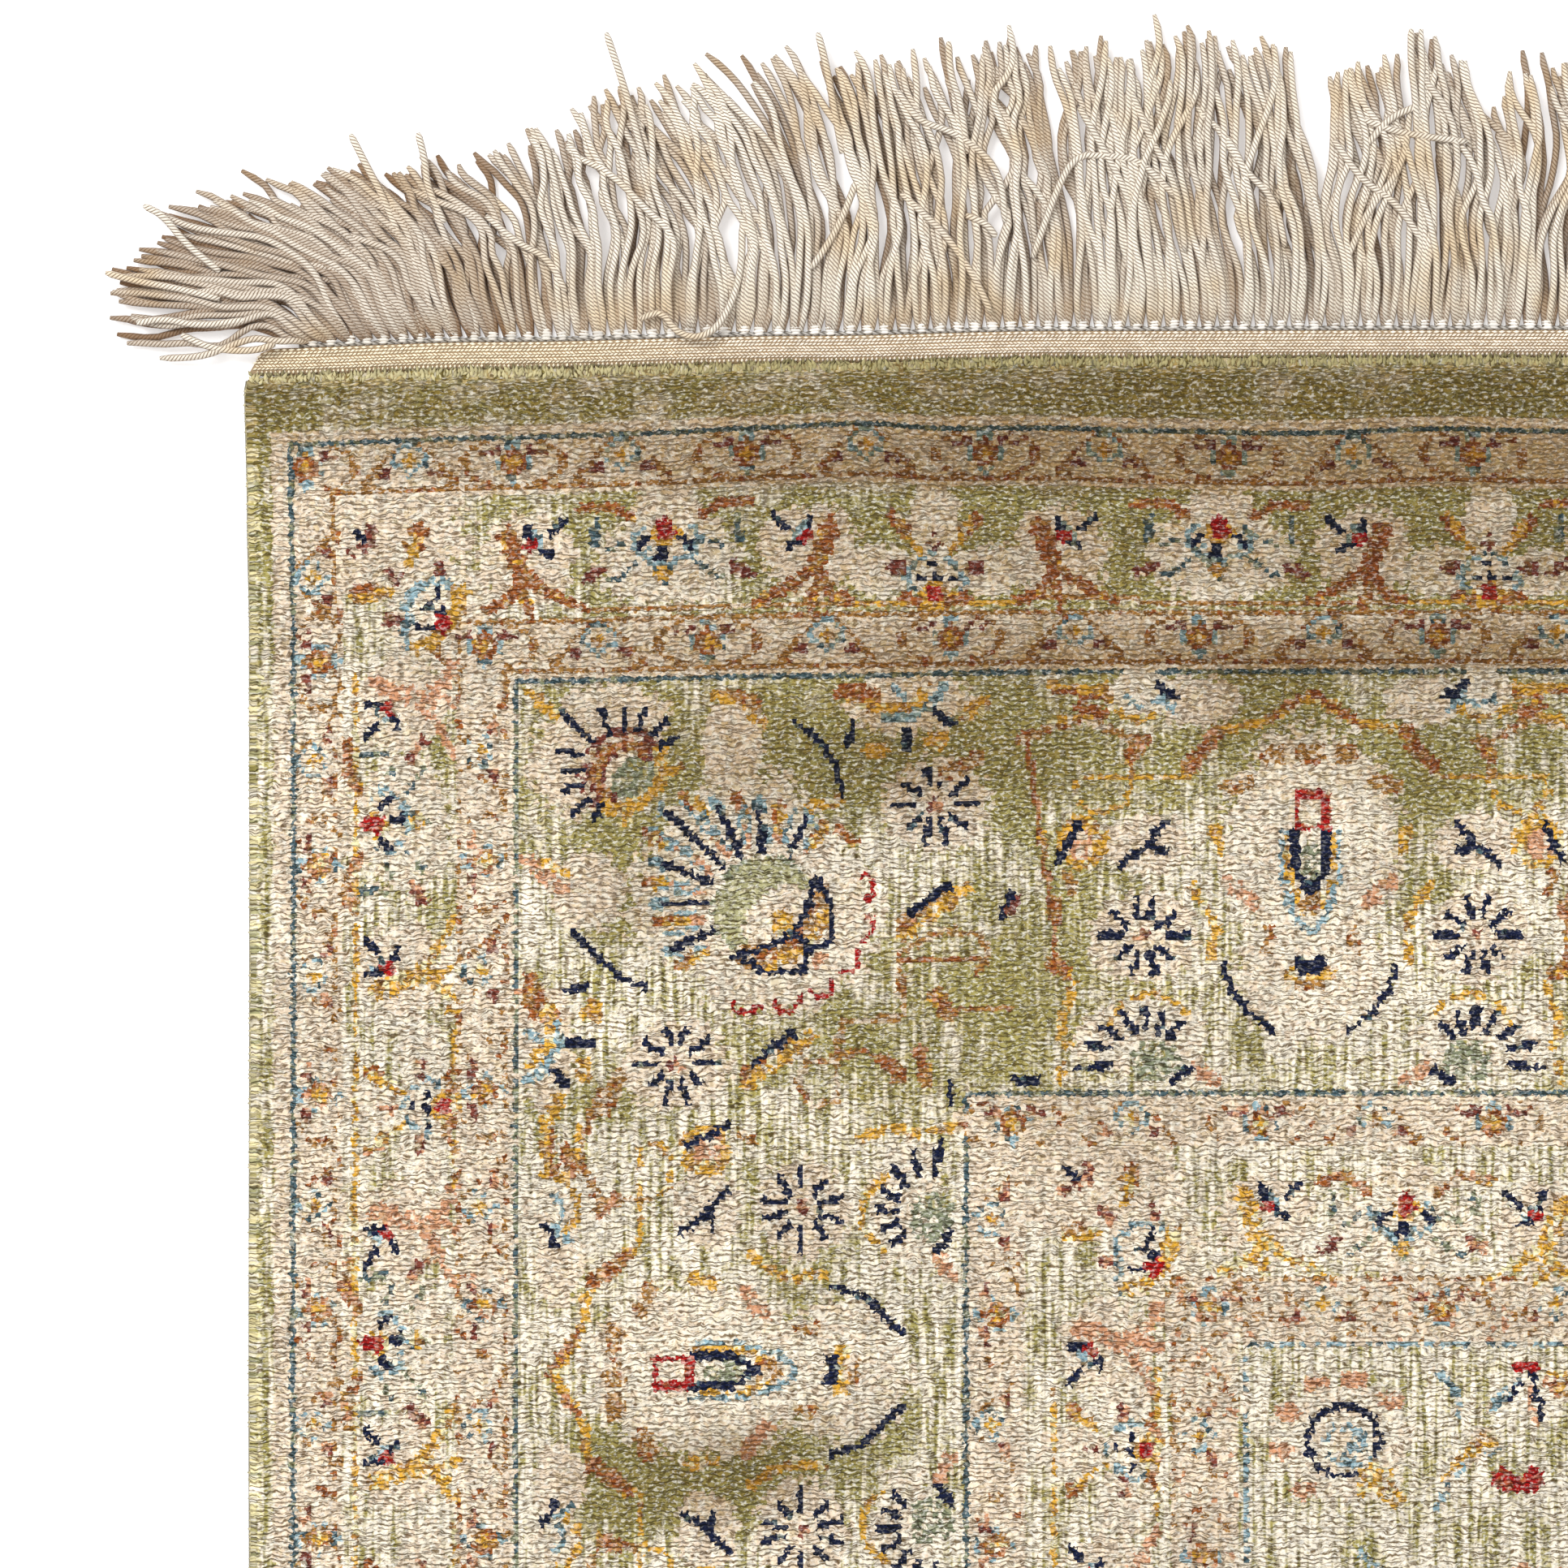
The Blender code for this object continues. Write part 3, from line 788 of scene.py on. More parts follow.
@dataclass(frozen=True)
class CordFinish:
    """Twisted two-ply yarn: slanting plies, with painted shade in the grooves, on each cord's sides and
    near the floor.
    """

    crown: Colour = srgb(255, 247, 232)
    tint: Colour = srgb(238, 214, 176)
    # painted shade in the grooves between the plies and on each cord's sides
    groove_shade: Colour = srgb(128, 94, 58)
    # darker, browner yarn near the floor and on the shaded cords: painted shade, partly dirt
    low: Colour = srgb(124, 84, 42)
    turn_length: float = 2.3
    # the painted shade near the floor fades out between these two heights
    low_height: float = 0.9
    high_height: float = 4.4

    def material(self, name: str) -> Material:
        """Builds the shader from the strands' own UV."""
        sh = Shader(name)
        around, along, _ = sh.parts(sh.uv("strand"))
        spot = sh.place()
        _, _, height = sh.parts(spot)
        twist = (around * 2.0 - along / self.turn_length) * math.tau
        ply = twist.apply("COSINE").apply("ABSOLUTE")
        hair = sh.noise(sh.join(around * 7.0 + along * 1.4, along * 0.5), 1.0, 2.0, 0.6)
        cloud = sh.noise(spot, 48.0, 2.0)
        # Painted shade, partly dirt, near the floor and on the lower and shaded cords by their tone.
        level = (height / MM).between(self.low_height, self.high_height)
        body = sh.mix(self.crown, self.tint, cloud.between(0.42, 0.72) * 0.8)
        body = sh.mix(self.low, body, level * 0.3 + sh.attribute("tone_and_shade") * 0.7)
        # Painted shade on each cord's sides, leaving its top lit, and in the ply grooves.
        painted_top_light = (around * math.tau).apply("SINE").between(-0.1, 0.8)
        painted_bead_light = ply.between(0.1, 0.8) * (painted_top_light * 0.75 + 0.25)
        colour = sh.mix(self.groove_shade, body, painted_bead_light * 0.88 + 0.12)
        colour = sh.scaled(colour, hair * 0.4 + 0.84)
        relief = ply.apply("SQRT") + hair * 0.2
        return sh.finish(colour, sh.bump(relief, 0.4, 0.7), 0.6, 0.3)


@dataclass(frozen=True)
class WovenFinish:
    """Plain yarn in small stitches, each a little lighter or darker, with painted shade low down between
    them.
    """

    left: Colour = srgb(255, 243, 214)
    right: Colour = srgb(252, 241, 226)
    # painted shade between the stitches, low down
    gap_shade: Colour = srgb(178, 152, 118)
    blend_from: float = -0.33
    blend_to: float = -0.24
    gap_shade_height: float = 1.5
    crest_height: float = 2.0
    hair_scale: float = 2600.0
    unevenness: float = 0.36

    def material(self, name: str) -> Material:
        """Builds the shader."""
        sh = Shader(name)
        spot = sh.place()
        x, _, z = sh.parts(spot)
        hair = sh.noise(spot, self.hair_scale, 2.0)
        cloud = sh.noise(spot, 45.0, 2.0)
        side = x.between(self.blend_from, self.blend_to)
        colour = sh.mix(self.left, self.right, side * 0.7 + cloud * 0.3)
        colour = sh.scaled(colour, sh.attribute("shade") * self.unevenness + hair * 0.3 + 0.84)
        # Painted shade between the stitches: dark low down, fading to the yarn's own colour by the crest
        # height.
        colour = sh.mix(self.gap_shade, colour, (z / MM).between(self.gap_shade_height, self.crest_height))
        return sh.finish(colour, sh.bump(hair, 0.3, 0.5), 0.7, 0.2)


@dataclass(frozen=True)
class FloorFinish:
    """A pale, even floor."""

    colour: Colour = (0.93, 0.93, 0.93)
    glow: float = 0.4

    def material(self) -> Material:
        """Builds the shader."""
        sh = Shader("floor")
        faint = sh.noise(sh.place(), 3.0)
        colour = sh.scaled(sh.mix(self.colour, self.colour, 0.0), faint * 0.01 + 0.995)
        material = sh.finish(colour, sh.bump(faint, 0.01, 0.1), 0.9, 0.0)
        kind = "ShaderNodeBsdfPrincipled"
        shader = next(node for node in material.node_tree.nodes if node.bl_idname == kind)
        shader.inputs["Emission Color"].default_value = (1.0, 1.0, 1.0, 1.0)
        shader.inputs["Emission Strength"].default_value = self.glow
        return material


# --- the chart ----------------------------------------------------------------------------------

HALF_COLUMNS = 265
HALF_ROWS = 414


def read_values(words: Sequence[str]) -> list[Any]:
    """Returns each word as a number, or as a tuple of numbers where it has commas."""
    return [tuple(map(float, word.split(","))) if "," in word else float(word) for word in words]


def read_rows(text: str) -> list[list[str]]:
    """Returns the words of each row of a text table."""
    return [row.split() for row in text.strip().splitlines()]


@dataclass
class KnotChart:
    """One quarter of the rug's chart, a yarn number for each knot."""

    knots: np.ndarray = field(default_factory=lambda: np.zeros((HALF_ROWS, HALF_COLUMNS), np.uint8))

    def whole(self) -> np.ndarray:
        """Returns all four quarters, mirrored about both middle lines."""
        upper = np.concatenate([self.knots, self.knots[:, ::-1]], axis=1)
        return np.concatenate([upper, upper[::-1]], axis=0)


class Lie(Enum):
    """Which border a motif stands in: its own right and inward steps, as (column, row) pairs."""

    TOP = ((1.0, 0.0), (0.0, 1.0))
    TOP_MIRRORED = ((-1.0, 0.0), (0.0, 1.0))
    SIDE = ((0.0, 1.0), (1.0, 0.0))
    SIDE_MIRRORED = ((0.0, -1.0), (1.0, 0.0))
    CORNER = ((0.7071, -0.7071), (0.7071, 0.7071))


# Small charts of yarn letters, outer side up: two guard flowers, a bud and an arched flower.
STAMPS = {
    "open": """
    .......kbbbk.......
    ......kbcccbk......
    .....kbccgccbk.....
    ....k.bcgggcb.k....
    ...k..bbcgcbb..k...
    ..kkmm..bcb..mmkk..
    .kkmmm...b...mmmkk.
    kkpp...........ppkk
    kkk.............kkk
    """,
    "closed": """
    .....kk...bbb...kk.....
    ...kkppmm.brb.mmppkk...
    ..kppmmmm.rrr.mmmmppk..
    .kkpp...brrgrrb...ppkk.
    .kkpp...brgggrb...ppkk.
    .kkppp..brrgrrb..pppkk.
    ..kpppp...rrr...ppppk..
    ...kkppp..bbb..pppkk...
    .....kkk...b...kkk.....
    """,
    "bud": """
    ......R......
    .....RRR.....
    ....gRRRg....
    ....gRRRRg...
    ..nngRRRgnn..
    .nn..ggg..nn.
    .n...nn....n.
    .....nn......
    ....nnn......
    ...bbbbbb....
    ....tggt.....
    ....ggkg.....
    .....gg......
    ......t......
    """,
    "arch": """
    .......m.......
    .......m.......
    ......mmm......
    .......m.......
    ......bbb......
    ....bbcccbb....
    ...bccnnccbb...
    ..bbcccccccb...
    ..b.cccnccc.b..
    .bb.nncnncnnbb.
    ..b.ccgrgccc.b.
    ..bbcgRRRgc.b..
    .rr.ggRRRggrrr.
    rrrrrgRRRgrrrrr
    ...rrggggrrr...
    ....kggggk.....
    """,
}


class Motif(Enum):
    """The motifs of a town-woven floral rug, in rows that a pen draws one after another.

    A row has a pen's method, a yarn's letter, then that method's values in knots: a width where it
    has one, then pairs of along and inward. A star stands for a yarn that is chosen at the place.
    """

    # Two flowers of a narrow border.
    GUARD_OPEN = """
    cloud p 0,1 8,4.6
    stamp open
    """
    GUARD_CLOSED = """
    cloud p 0,0 10.5,4.6
    stamp closed
    """
    # The red bud of the main border with its scrolls and side strokes.
    BUD = """
    cloud c 0,5 14,9
    cloud p 0,-3 7,7
    both b 1.3 4.9,-1.2 6.4,0.6 5.6,3.2 3.4,4.8 1.6,4.6
    both b 1 3.6,2.2 4.6,1.2
    both t 0.8 8.4,1.2 11.2,3
    both t 0.8 6,5.6 9.6,8.4 11,8.8
    both r 1.9 6.6,-3.4 11,-6.4 16.6,-5.6
    both t 1.3 13.6,-3.2 14,1.4
    both m 2 12.8,6.6 16,8.6
    stamp bud 3.4
    """
    # The forked branch with its navy twig and red dot.
    BRANCH = """
    cloud p 1,3 9,9
    line * 3.6 4.8,-1.8 3.6,2 2.2,5.6
    line * 2.4 2.2,5.6 -1,8.4 -4.6,10.6
    line * 1.5 -4.6,10.6 -10,13.2
    line * 2.2 2.6,5 2.4,9 0.8,13.4
    line * 2.2 2.6,7 4.8,11.2 9,13
    line b 2.2 0.2,-2 -1.4,0
    line n 1.4 0.9,-1.4 1.2,-3.8
    line n 1.3 -3.2,-1.8 -6,-4.2
    line n 1.3 -1.2,1.2 -3.2,2
    disc R 0.2,0.2 1.5,1.3
    """
    # The arched flower of the main border with its two leaves.
    ARCH_FLOWER = """
    cloud c 0,-9 5,8
    clouds c 10,1 7,5
    both g 1 3,-3 5.4,-6
    both r 2.6 5.8,-6.8 8,-9.4
    both g 1.6 5.6,-6.4 7,-8.8
    both m 2 6.4,0.4 8.6,0.4
    both g 0.9 6.5,7.4 15.5,7
    stamp arch 0.5
    """
    # The main border's corner: its flower, leaves and dabs.
    CORNER_GROUP = """
    cloud p 2,0 20,12
    cloud c 16,14 10,10
    line n 1.2 -0.3,-1.6 1.9,0.4
    line m 2 3.8,-1.8 3.6,1.2 0.6,2.8 -1,3.4
    line r 3.4 12.4,-1 11.6,2.6
    line g 1.8 12,0.6 10.8,5.4
    line m 2.2 7,7.2 8.6,9
    line m 1.8 16.6,6.2 16.6,9.4
    line g 3.2 0.4,11.8 4,11.4
    line g 1.6 4,11.4 7.2,11.6
    line r 1.6 0,10.6 3.4,10
    line m 2.2 6.4,16.8 8.6,17.4
    arc b 1.8 15.6,14.6 5.8,5 150,320
    line b 1.6 10.2,14 9.6,20 11,23
    disc c 14.6,13.6 3,2.6
    line n 1.1 16.4,10.8 15.2,14.2 13.4,14.4
    line n 1.2 12.2,18.4 14.4,18.6
    line g 3.2 20.4,11.6 19.6,15.6 17.4,18.6
    line g 2.6 17.6,19.4 14,22 11.4,22.6
    disc R 17,18 1.8,2
    line n 1.2 17,15.4 16.4,16.2
    """
    # A star of navy strokes round a brown eye.
    ROSETTE = """
    cloud p 0,0 10,9
    rays n 1.25 14,4,7.6 52,3.8,7.4 88,4.2,8.2 128,3.8,7 163,3.6,7.8
    disc m 0,0 1.5,1.3
    disc s 0.5,0.3 1,0.8
    """
    # The small fan flower in the corner of the broad border.
    SMALL_FAN = """
    cloud p 0,-7 15,11
    arc m 5 0,-0.4 6.6,5.4 168,372
    arc r 2 0,-0.4 5.4,4.4 168,372
    arc g 3 0,0.6 8,6.4 20,160
    disc y 0,2.4 4.6,3.6
    both g 1.6 4.6,6.8 8,7.6
    rays n 1.25 0,8.4,16.6 25,8,13.2 46,8.4,12 63,8.8,12.4 85,9,13 104,8.4,11.8
    """
    # The large fan flower: rayed petals, a heart, a calyx and red scallops.
    LARGE_FAN = """
    cloud c 0,7 20,15
    cloud c 0,-12 21,13
    petals b 1 0,11.6,26 21,11,21.4 43,10.6,19.2 71,11.2,19
    disc y 0,0 10.4,9.6
    disc o 0,0 9.6,8.8
    disc p 0,4.8 8,6.4
    disc g 0,4.8 2.4,2.2
    rays n 1.4 0,11.6,26 21,11,21.4 43,10.6,19.2 71,11.2,19
    both k 4.4 1.5,11 6.4,9.6 9.6,5.2
    both g 1.6 1.5,11.6 7.4,9.8
    both n 1.3 0,8.2 4.6,7 10.8,3.4 9.4,9.2 4,14.8 0,12.4
    both n 1.1 0,8.2 0,12.4
    disc s 0,15.6 1.8,1.4
    scallops R 0.9 125 148.5 169.5
    """
    # A slanting gold leaf with a navy edge.
    GOLD_LEAF = """
    line k 4.6 -3.6,2.6 2.4,-1.6
    line g 2.6 -5.2,5 -1,1.8 4,-1.8 7.2,-4.6
    line r 1.8 -5.6,3.6 -2.4,0.6
    line n 1.7 -3.6,0.6 0.4,-2.8 4,-5.2
    """
    # A flower that the border's line cuts in half.
    CUT_FLOWER = """
    cloud p 2,4 12,6
    line r 3.6 -10.6,1.6 -5,2.6
    line g 2.4 -6,4.4 -1,5.6 3.4,4.4 5,1
    line b 1.7 -3,6.6 2.4,6.8 7,3.6 8.8,0.6
    line b 1.3 -1,1 1.2,3.4
    line n 1.5 -9,8 -9.8,12
    line n 1.6 1.4,9.2 1.4,13
    line n 1.5 7.2,6 10.2,8.6
    disc g -4.6,13.2 2.6,1.8
    disc g 7,11.6 2.4,2
    line g 3 13,6.6 16.4,4.8
    line k 3.2 8.6,18.4 14.8,15.6
    """
    # The pale half flower that hangs from the line beside the arch.
    HALF_DAISY = """
    disc c 0,2.4 6,5.2
    cloud p 11,4 8,5
    arc g 1.5 -0.4,1.2 6.2,6.2 40,190
    arc b 1.1 0.6,0.8 3.6,4 20,150
    line b 1.3 4.6,3.4 6.4,6.2
    line n 1.4 3.2,0.2 5,2.4 7.4,2.8
    line r 2 -16,1.4 -7,2.6
    line g 1.6 -17.4,0.8 -8,1.4
    """
    # A small navy twig.
    TWIG = """
    cloud p 0,0 8,6
    line n 1.4 3.8,-4.6 0.4,0 -4.6,4.2
    line n 1.5 0.4,0.6 3.8,1.2
    """
    # A gold bud with a navy stroke.
    GOLD_BUD = """
    disc g 0.6,-0.4 5,5.4
    disc s 0,0 2.6,3.2
    line k 1.6 -2.4,6.2 -1.4,9
    line n 1.5 -0.6,-4 -2.6,0.6 -4.4,3.8
    """
    # The long bud on the arch's middle line, and the small cup under it.
    TUBE_FLOWER = """
    both b 1.2 5.2,-1 5.2,8 3.4,15.2 0.6,18.4
    both g 1.1 4.1,-0.4 4.1,8.6 1.6,14.4
    disc k 0,13 2,3
    disc y 0,5.6 2,5
    both n 1.5 2.9,-1.6 2.9,6.6 0,11
    both R 1.2 0,-8.4 2.8,-8.4 2.9,-2.2 0,-2
    disc c 0,-5.2 2.1,2.4
    line g 3 -3.6,27.4 3.6,27.4
    line k 2.4 -1.8,29.6 1.8,29.6
    line n 1.9 -2.2,24.6 -2,26 2,26 2.2,24.6
    """
    # The fan of navy strokes that rises from the broad border's inner line.
    EDGE_FAN = """
    cloud c -2,-4 13,7
    arc g 1.1 0,0 9.4,12.6 215,318
    line g 1.8 -14.6,-14 -17.6,-6.4 -16,-2
    line g 1.4 -16.8,1 -17.4,5
    disc y 0.6,1 5,4.4
    line s 2.6 9,2.4 13,4.8
    line n 1.6 4.2,4.6 7.6,2.2
    fan n 1.4 -100,7.8,14.2 -78,7.6,12.4 -56,6.8,10.8 -30,6,10 -6,5.6,9.8 18,5.6,8.8 42,5.8,8.8
    line n 1.5 -26,4.4 -21.4,4.4
    """
    # The curls beside the arch, which only the top border has.
    ARCH_CURLS = """
    both r 1.2 55,10.6 52.8,26 51,40 49.8,48 49.6,58.4
    both r 2.8 49.6,44.6 49.4,47.4
    both r 2.8 49.8,56.4 47,59
    """
    # The pointed arch and its dabs about a middle line.
    ARCH = """
    cloud c 0,32 17,22
    cloud c 0,60 15,12
    both g 1.7 0,3.4 6.6,7.6 10.5,9.2 16.8,10 20.4,13 24.6,19.6
    both r 1.5 0,2.6 5.6,6 8,8
    both r 3 18.4,10.6 19.8,13.2 23.4,17.4
    both g 1 24.6,19.8 45,19.7 46,23 42.6,26.8 36.4,25.6 34.6,21
    both k 1.5 56.8,12.4 48,9 42.6,8.4 37.2,10.8 34,12.9 34.8,19.4
    both g 1.2 50,8.4 43,7.4
    both r 2.8 32.8,12.4 34.8,15.6
    both r 2.6 44.4,5.6 40.6,6.8
    both k 3.4 13,20.6 16,21.6
    both g 2.4 18.6,30 17.8,34
    both s 3 16,40.6 13.6,42 11.4,44.6
    both g 1.8 23,41.4 20.2,45.4 18.3,50.2 19.4,55.8
    both k 2.2 8,50.4 8.6,54.4
    both n 1.2 16.8,57.2 15.2,62.2 12.1,66.2 7.4,70.4
    disc k -7,15 3,2.2
    disc k 0.2,15 3,2.2
    disc k 7,15 3,2.2
    """
    # A pale blue disc in a navy ring, with loose petals and a gold base.
    RING_FLOWER = """
    cloud c 0,0 13,12
    ring s 12.4 2.5,2 -62 -24 10 48 -98 -142
    arc n 1.2 0,0 6.8,7 62,380
    disc c 0,0 5.8,6
    disc b 0.4,0.6 4.4,4.6
    disc p -0.6,-0.6 1.8,1.8
    line g 3.6 4.4,5.4 6.6,8.6 9.8,11.4
    line g 2.6 3.8,9.8 8.4,6.4
    line b 1.6 3,4.2 5.6,3.4
    """
    # A long curved leaf in gold and pale blue.
    CURVED_LEAF = """
    line b 1.3 -5,-13 -0.6,-9 0.4,-3.6
    line g 2 -2.8,10.4 0.6,5 6.2,1.4
    line b 1.3 -3.8,14.6 -1.2,8.4 2.6,5 7.6,3.4
    line k 2.2 3.2,1.6 5,-0.8
    """
    # A red two-lobed petal.
    HEART = """
    disc R -2.8,-0.4 2.5,2
    disc R 2.8,0 2.5,2.4
    line R 1.8 -2,1.2 1.8,1.8
    """
    # A red bud with navy, pale blue and rust leaves hanging from it.
    SPRAY = """
    line b 1.8 -1.4,1.4 -5,6 -7.4,8
    line n 0.9 -1,1.6 -3.4,6.4
    line r 3.4 5,2.6 9.6,5.6
    line g 1.6 4,1 10.6,1.4
    line n 1.1 1,0.6 2,5.4 2.6,9.6
    line s 1.2 0.4,3 1.4,11
    line R 2.4 -1.8,-0.6 1.2,-0.4
    """
    # Thin lines that run along a border, from the rug's edge.
    TOP_STEM = "line k 0.9 62,0 100,0.4 150,-0.6 264,0"
    SIDE_STEM = "line g 0.9 0,60 0.2,100 -0.3,200 0,413"
    INNER_STEM = "line g 0.9 0,205 0.3,260 0,413"
    # Pale ground behind the corner's leaves.
    UPPER_PATCH = "cloud p 0,0 6,10"
    LOWER_PATCH = "cloud p 0,0 7,8"
    # The loose strokes in the broad border's corner, from the rug's own corner.
    CORNER_STROKES = """
    line n 1.2 102.7,71.2 107,74.2 110.6,79.4 112.2,85.4
    line n 1.2 59.6,112.5 64.4,117.2 69,121.4 74,123.6
    line n 1.6 143,110.4 144.8,106
    line m 1.6 144.6,109.6 146,107.4
    line g 2.4 88,65.6 92.4,66.4 96.6,71
    line k 2.6 92,65.4 95.6,67.8
    line g 2.6 51.4,64.6 56.4,68.4
    line s 2.6 51,97.6 54.6,101.4 58.6,103.6
    line g 1.6 54.6,98.6 60.2,100.8
    line s 2.8 50.4,123.8 56,131
    line r 1.4 52,123 57.6,129.8
    line k 1.2 123.1,117.4 123.9,130.3 112.1,131.1 110.9,138.4 110.9,146
    line k 1.2 110.9,138.4 105,139.2 103.5,143.3 105.8,148 110.5,147
    line r 1.2 111,137.6 117,137.2 119.4,138.6
    line r 3 120.4,138.6 123,142
    line k 1.2 123,117.4 131.7,113.3 138.8,114.1 140.3,119 138,121.4
    line r 1.2 123.9,119.3 138.8,119.3
    line r 3.4 130.4,126.4 132.6,129.6
    line r 1.2 133,129.4 145,129
    line r 2.6 127,137 128.4,143.6
    line g 2.2 111,87 106,88
    line r 2 111.8,92.4 114,95
    """


@dataclass
class Pen:
    """Draws in knots about one motif's middle: first along the border, then inwards."""

    chart: KnotChart
    column: float
    row: float
    lie: Lie = Lie.TOP

    def draw(self, motif: Motif, yarn: str) -> None:
        """Draws a motif's rows, with the yarn's letter in place of each star."""
        for method, letter, *words in read_rows(motif.value.replace("*", yarn)):
            getattr(self, method)(letter, *read_values(words))

    def _spots(self, reach: float) -> tuple[np.ndarray, np.ndarray, np.ndarray, np.ndarray]:
        """Returns the knots within reach: their columns, rows and place in the motif."""
        low_row = max(int(self.row - reach), 0)
        low_col = max(int(self.column - reach), 0)
        rows = np.arange(low_row, min(int(self.row + reach) + 2, HALF_ROWS))
        cols = np.arange(low_col, min(int(self.column + reach) + 2, HALF_COLUMNS))
        row, col = np.meshgrid(rows, cols, indexing="ij")
        (ax, ay), (bx, by) = self.lie.value
        dx = col - self.column
        dy = row - self.row
        return col, row, dx * ax + dy * ay, dx * bx + dy * by

    def _lay(self, col: np.ndarray, row: np.ndarray, mask: np.ndarray, yarn: str) -> None:
        """Knots the yarn where the mask is true."""
        self.chart.knots[row[mask], col[mask]] = YARN_LETTERS[yarn]

    def line(self, yarn: str, width: float, *points: Pair) -> None:
        """Draws a stroke through points of (along, inwards)."""
        reach = max(math.hypot(*point) for point in points) + width + 1
        col, row, along, inward = self._spots(reach)
        near = np.full(along.shape, np.inf)
        for (x0, y0), (x1, y1) in zip(points[:-1], points[1:]):
            dx, dy = x1 - x0, y1 - y0
            share = np.clip(((along - x0) * dx + (inward - y0) * dy) / (dx * dx + dy * dy + 1e-9), 0, 1)
            near = np.minimum(near, np.hypot(along - x0 - share * dx, inward - y0 - share * dy))
        self._lay(col, row, near <= width / 2 + 0.05, yarn)

    def both(self, yarn: str, width: float, *points: Pair) -> None:
        """Draws a stroke and its mirror image."""
        self.line(yarn, width, *points)
        self.line(yarn, width, *[(-along, inward) for along, inward in points])

    def disc(self, yarn: str, middle: Pair, half: Pair) -> None:
        """Fills an ellipse of those half sizes."""
        col, row, x, y = self._spots(math.hypot(*middle) + max(half) + 1)
        inside = ((x - middle[0]) / half[0]) ** 2 + ((y - middle[1]) / half[1]) ** 2 <= 1.0
        self._lay(col, row, inside, yarn)

    def ring(self, yarn: str, far: float, half: Pair, *turns: float) -> None:
        """Fills like ellipses round the middle."""
        for turn in turns:
            self.disc(yarn, (far * math.sin(math.radians(turn)), -far * math.cos(math.radians(turn))), half)

    def arc(self, yarn: str, width: float, middle: Pair, radii: Pair, degrees: Pair) -> None:
        """Draws part of an ellipse, from the motif's right round through its inward side."""
        steps = max(int(abs(degrees[1] - degrees[0]) / 12), 2)
        turns = np.radians(np.linspace(degrees[0], degrees[1], steps + 1))
        points = [(middle[0] + radii[0] * math.cos(a), middle[1] + radii[1] * math.sin(a)) for a in turns]
        self.line(yarn, width, *points)

    def stamp(self, name: str, inward: float = 0.0) -> None:
        """Lays a small chart of yarn letters, some knots further in than the pen stands."""
        marks = np.array([list(line) for line in STAMPS[name].split()])
        height, width = marks.shape
        _, (step_x, step_y) = self.lie.value
        middle = replace(self, column=self.column + step_x * inward, row=self.row + step_y * inward)
        col, row, along, deep = middle._spots(max(height, width) * 0.72 + 1)
        x = np.round(along + (width - 1) / 2 - 0.01).astype(int)
        y = np.round(deep + (height - 1) / 2 - 0.01).astype(int)
        inside = (x >= 0) & (x < width) & (y >= 0) & (y < height)
        found = marks[np.clip(y, 0, height - 1), np.clip(x, 0, width - 1)]
        for letter in set(marks.flat) - {"."}:
            self._lay(col, row, inside & (found == letter), letter)

    def ray(self, yarn: str, width: float, turn: float, near: float, far: float) -> None:
        """Draws a stroke away from the middle, turned from the outward direction in degrees."""
        along, inward = math.sin(math.radians(turn)), -math.cos(math.radians(turn))
        self.line(yarn, width, (along * near, inward * near), (along * far, inward * far))

    def fan(self, yarn: str, width: float, *rays: Triple) -> None:
        """Draws rays of (turn, near, far)."""
        for ray in rays:
            self.ray(yarn, width, *ray)

    def rays(self, yarn: str, width: float, *rays: Triple) -> None:
        """Draws rays and their mirror images."""
        for turn, near, far in rays:
            self.fan(yarn, width, (turn, near, far), (-turn, near, far))

    def petals(self, yarn: str, width: float, *rays: Triple) -> None:
        """Draws a petal's edges and tip, and a dab beside it, about each ray and its mirror image."""
        for turn, near, far in rays:
            for side in (-1, 1):
                for edge in (-8.5, 8.5):
                    self.ray(yarn, width, side * turn + edge, near + 2.5, far + 0.5)
                    self.ray("s", 0.9, side * turn + edge * 1.35, near + 1.0, far - 5.0)
                self.ray(yarn, 2.2, side * turn, far, far + 1.6)
                self.ray("r", 2.2, side * turn + side * 11, far - 2.0, far + 1.0)
                self.ray("g", 1.8, side * turn + side * 13, far - 4.0, far - 1.0)

    def cloud(self, yarn: str, middle: Pair, half: Pair) -> None:
        """Tints the bare ground in a ragged ellipse."""
        col, row, x, y = self._spots(math.hypot(*middle) + max(half) * 1.4 + 1)
        draw = np.random.default_rng(int(self.column * 7 + self.row * 13 + middle[0] * 3 + half[0]))
        ragged = draw.uniform(-0.34, 0.22, x.shape)
        inside = ((x - middle[0]) / half[0]) ** 2 + ((y - middle[1]) / half[1]) ** 2 + ragged <= 1.0
        self._lay(col, row, inside & (self.chart.knots[row, col] == Yarn.GROUND), yarn)

    def clouds(self, yarn: str, middle: Pair, half: Pair) -> None:
        """Tints two like ellipses, one on each side."""
        self.cloud(yarn, middle, half)
        self.cloud(yarn, (-middle[0], middle[1]), half)

    def scallops(self, yarn: str, width: float, *turns: float) -> None:
        """Draws scallops round a large flower's inner side, and their mirror images."""
        for turn in (*turns, *[-turn for turn in turns]):
            lean = math.radians(turn)
            middle = (19.4 * math.sin(lean), -19.4 * math.cos(lean))
            outward = math.degrees(math.atan2(middle[1], middle[0]))
            self.arc(yarn, width, middle, (2.5, 2.5), (outward - 80, outward + 80))


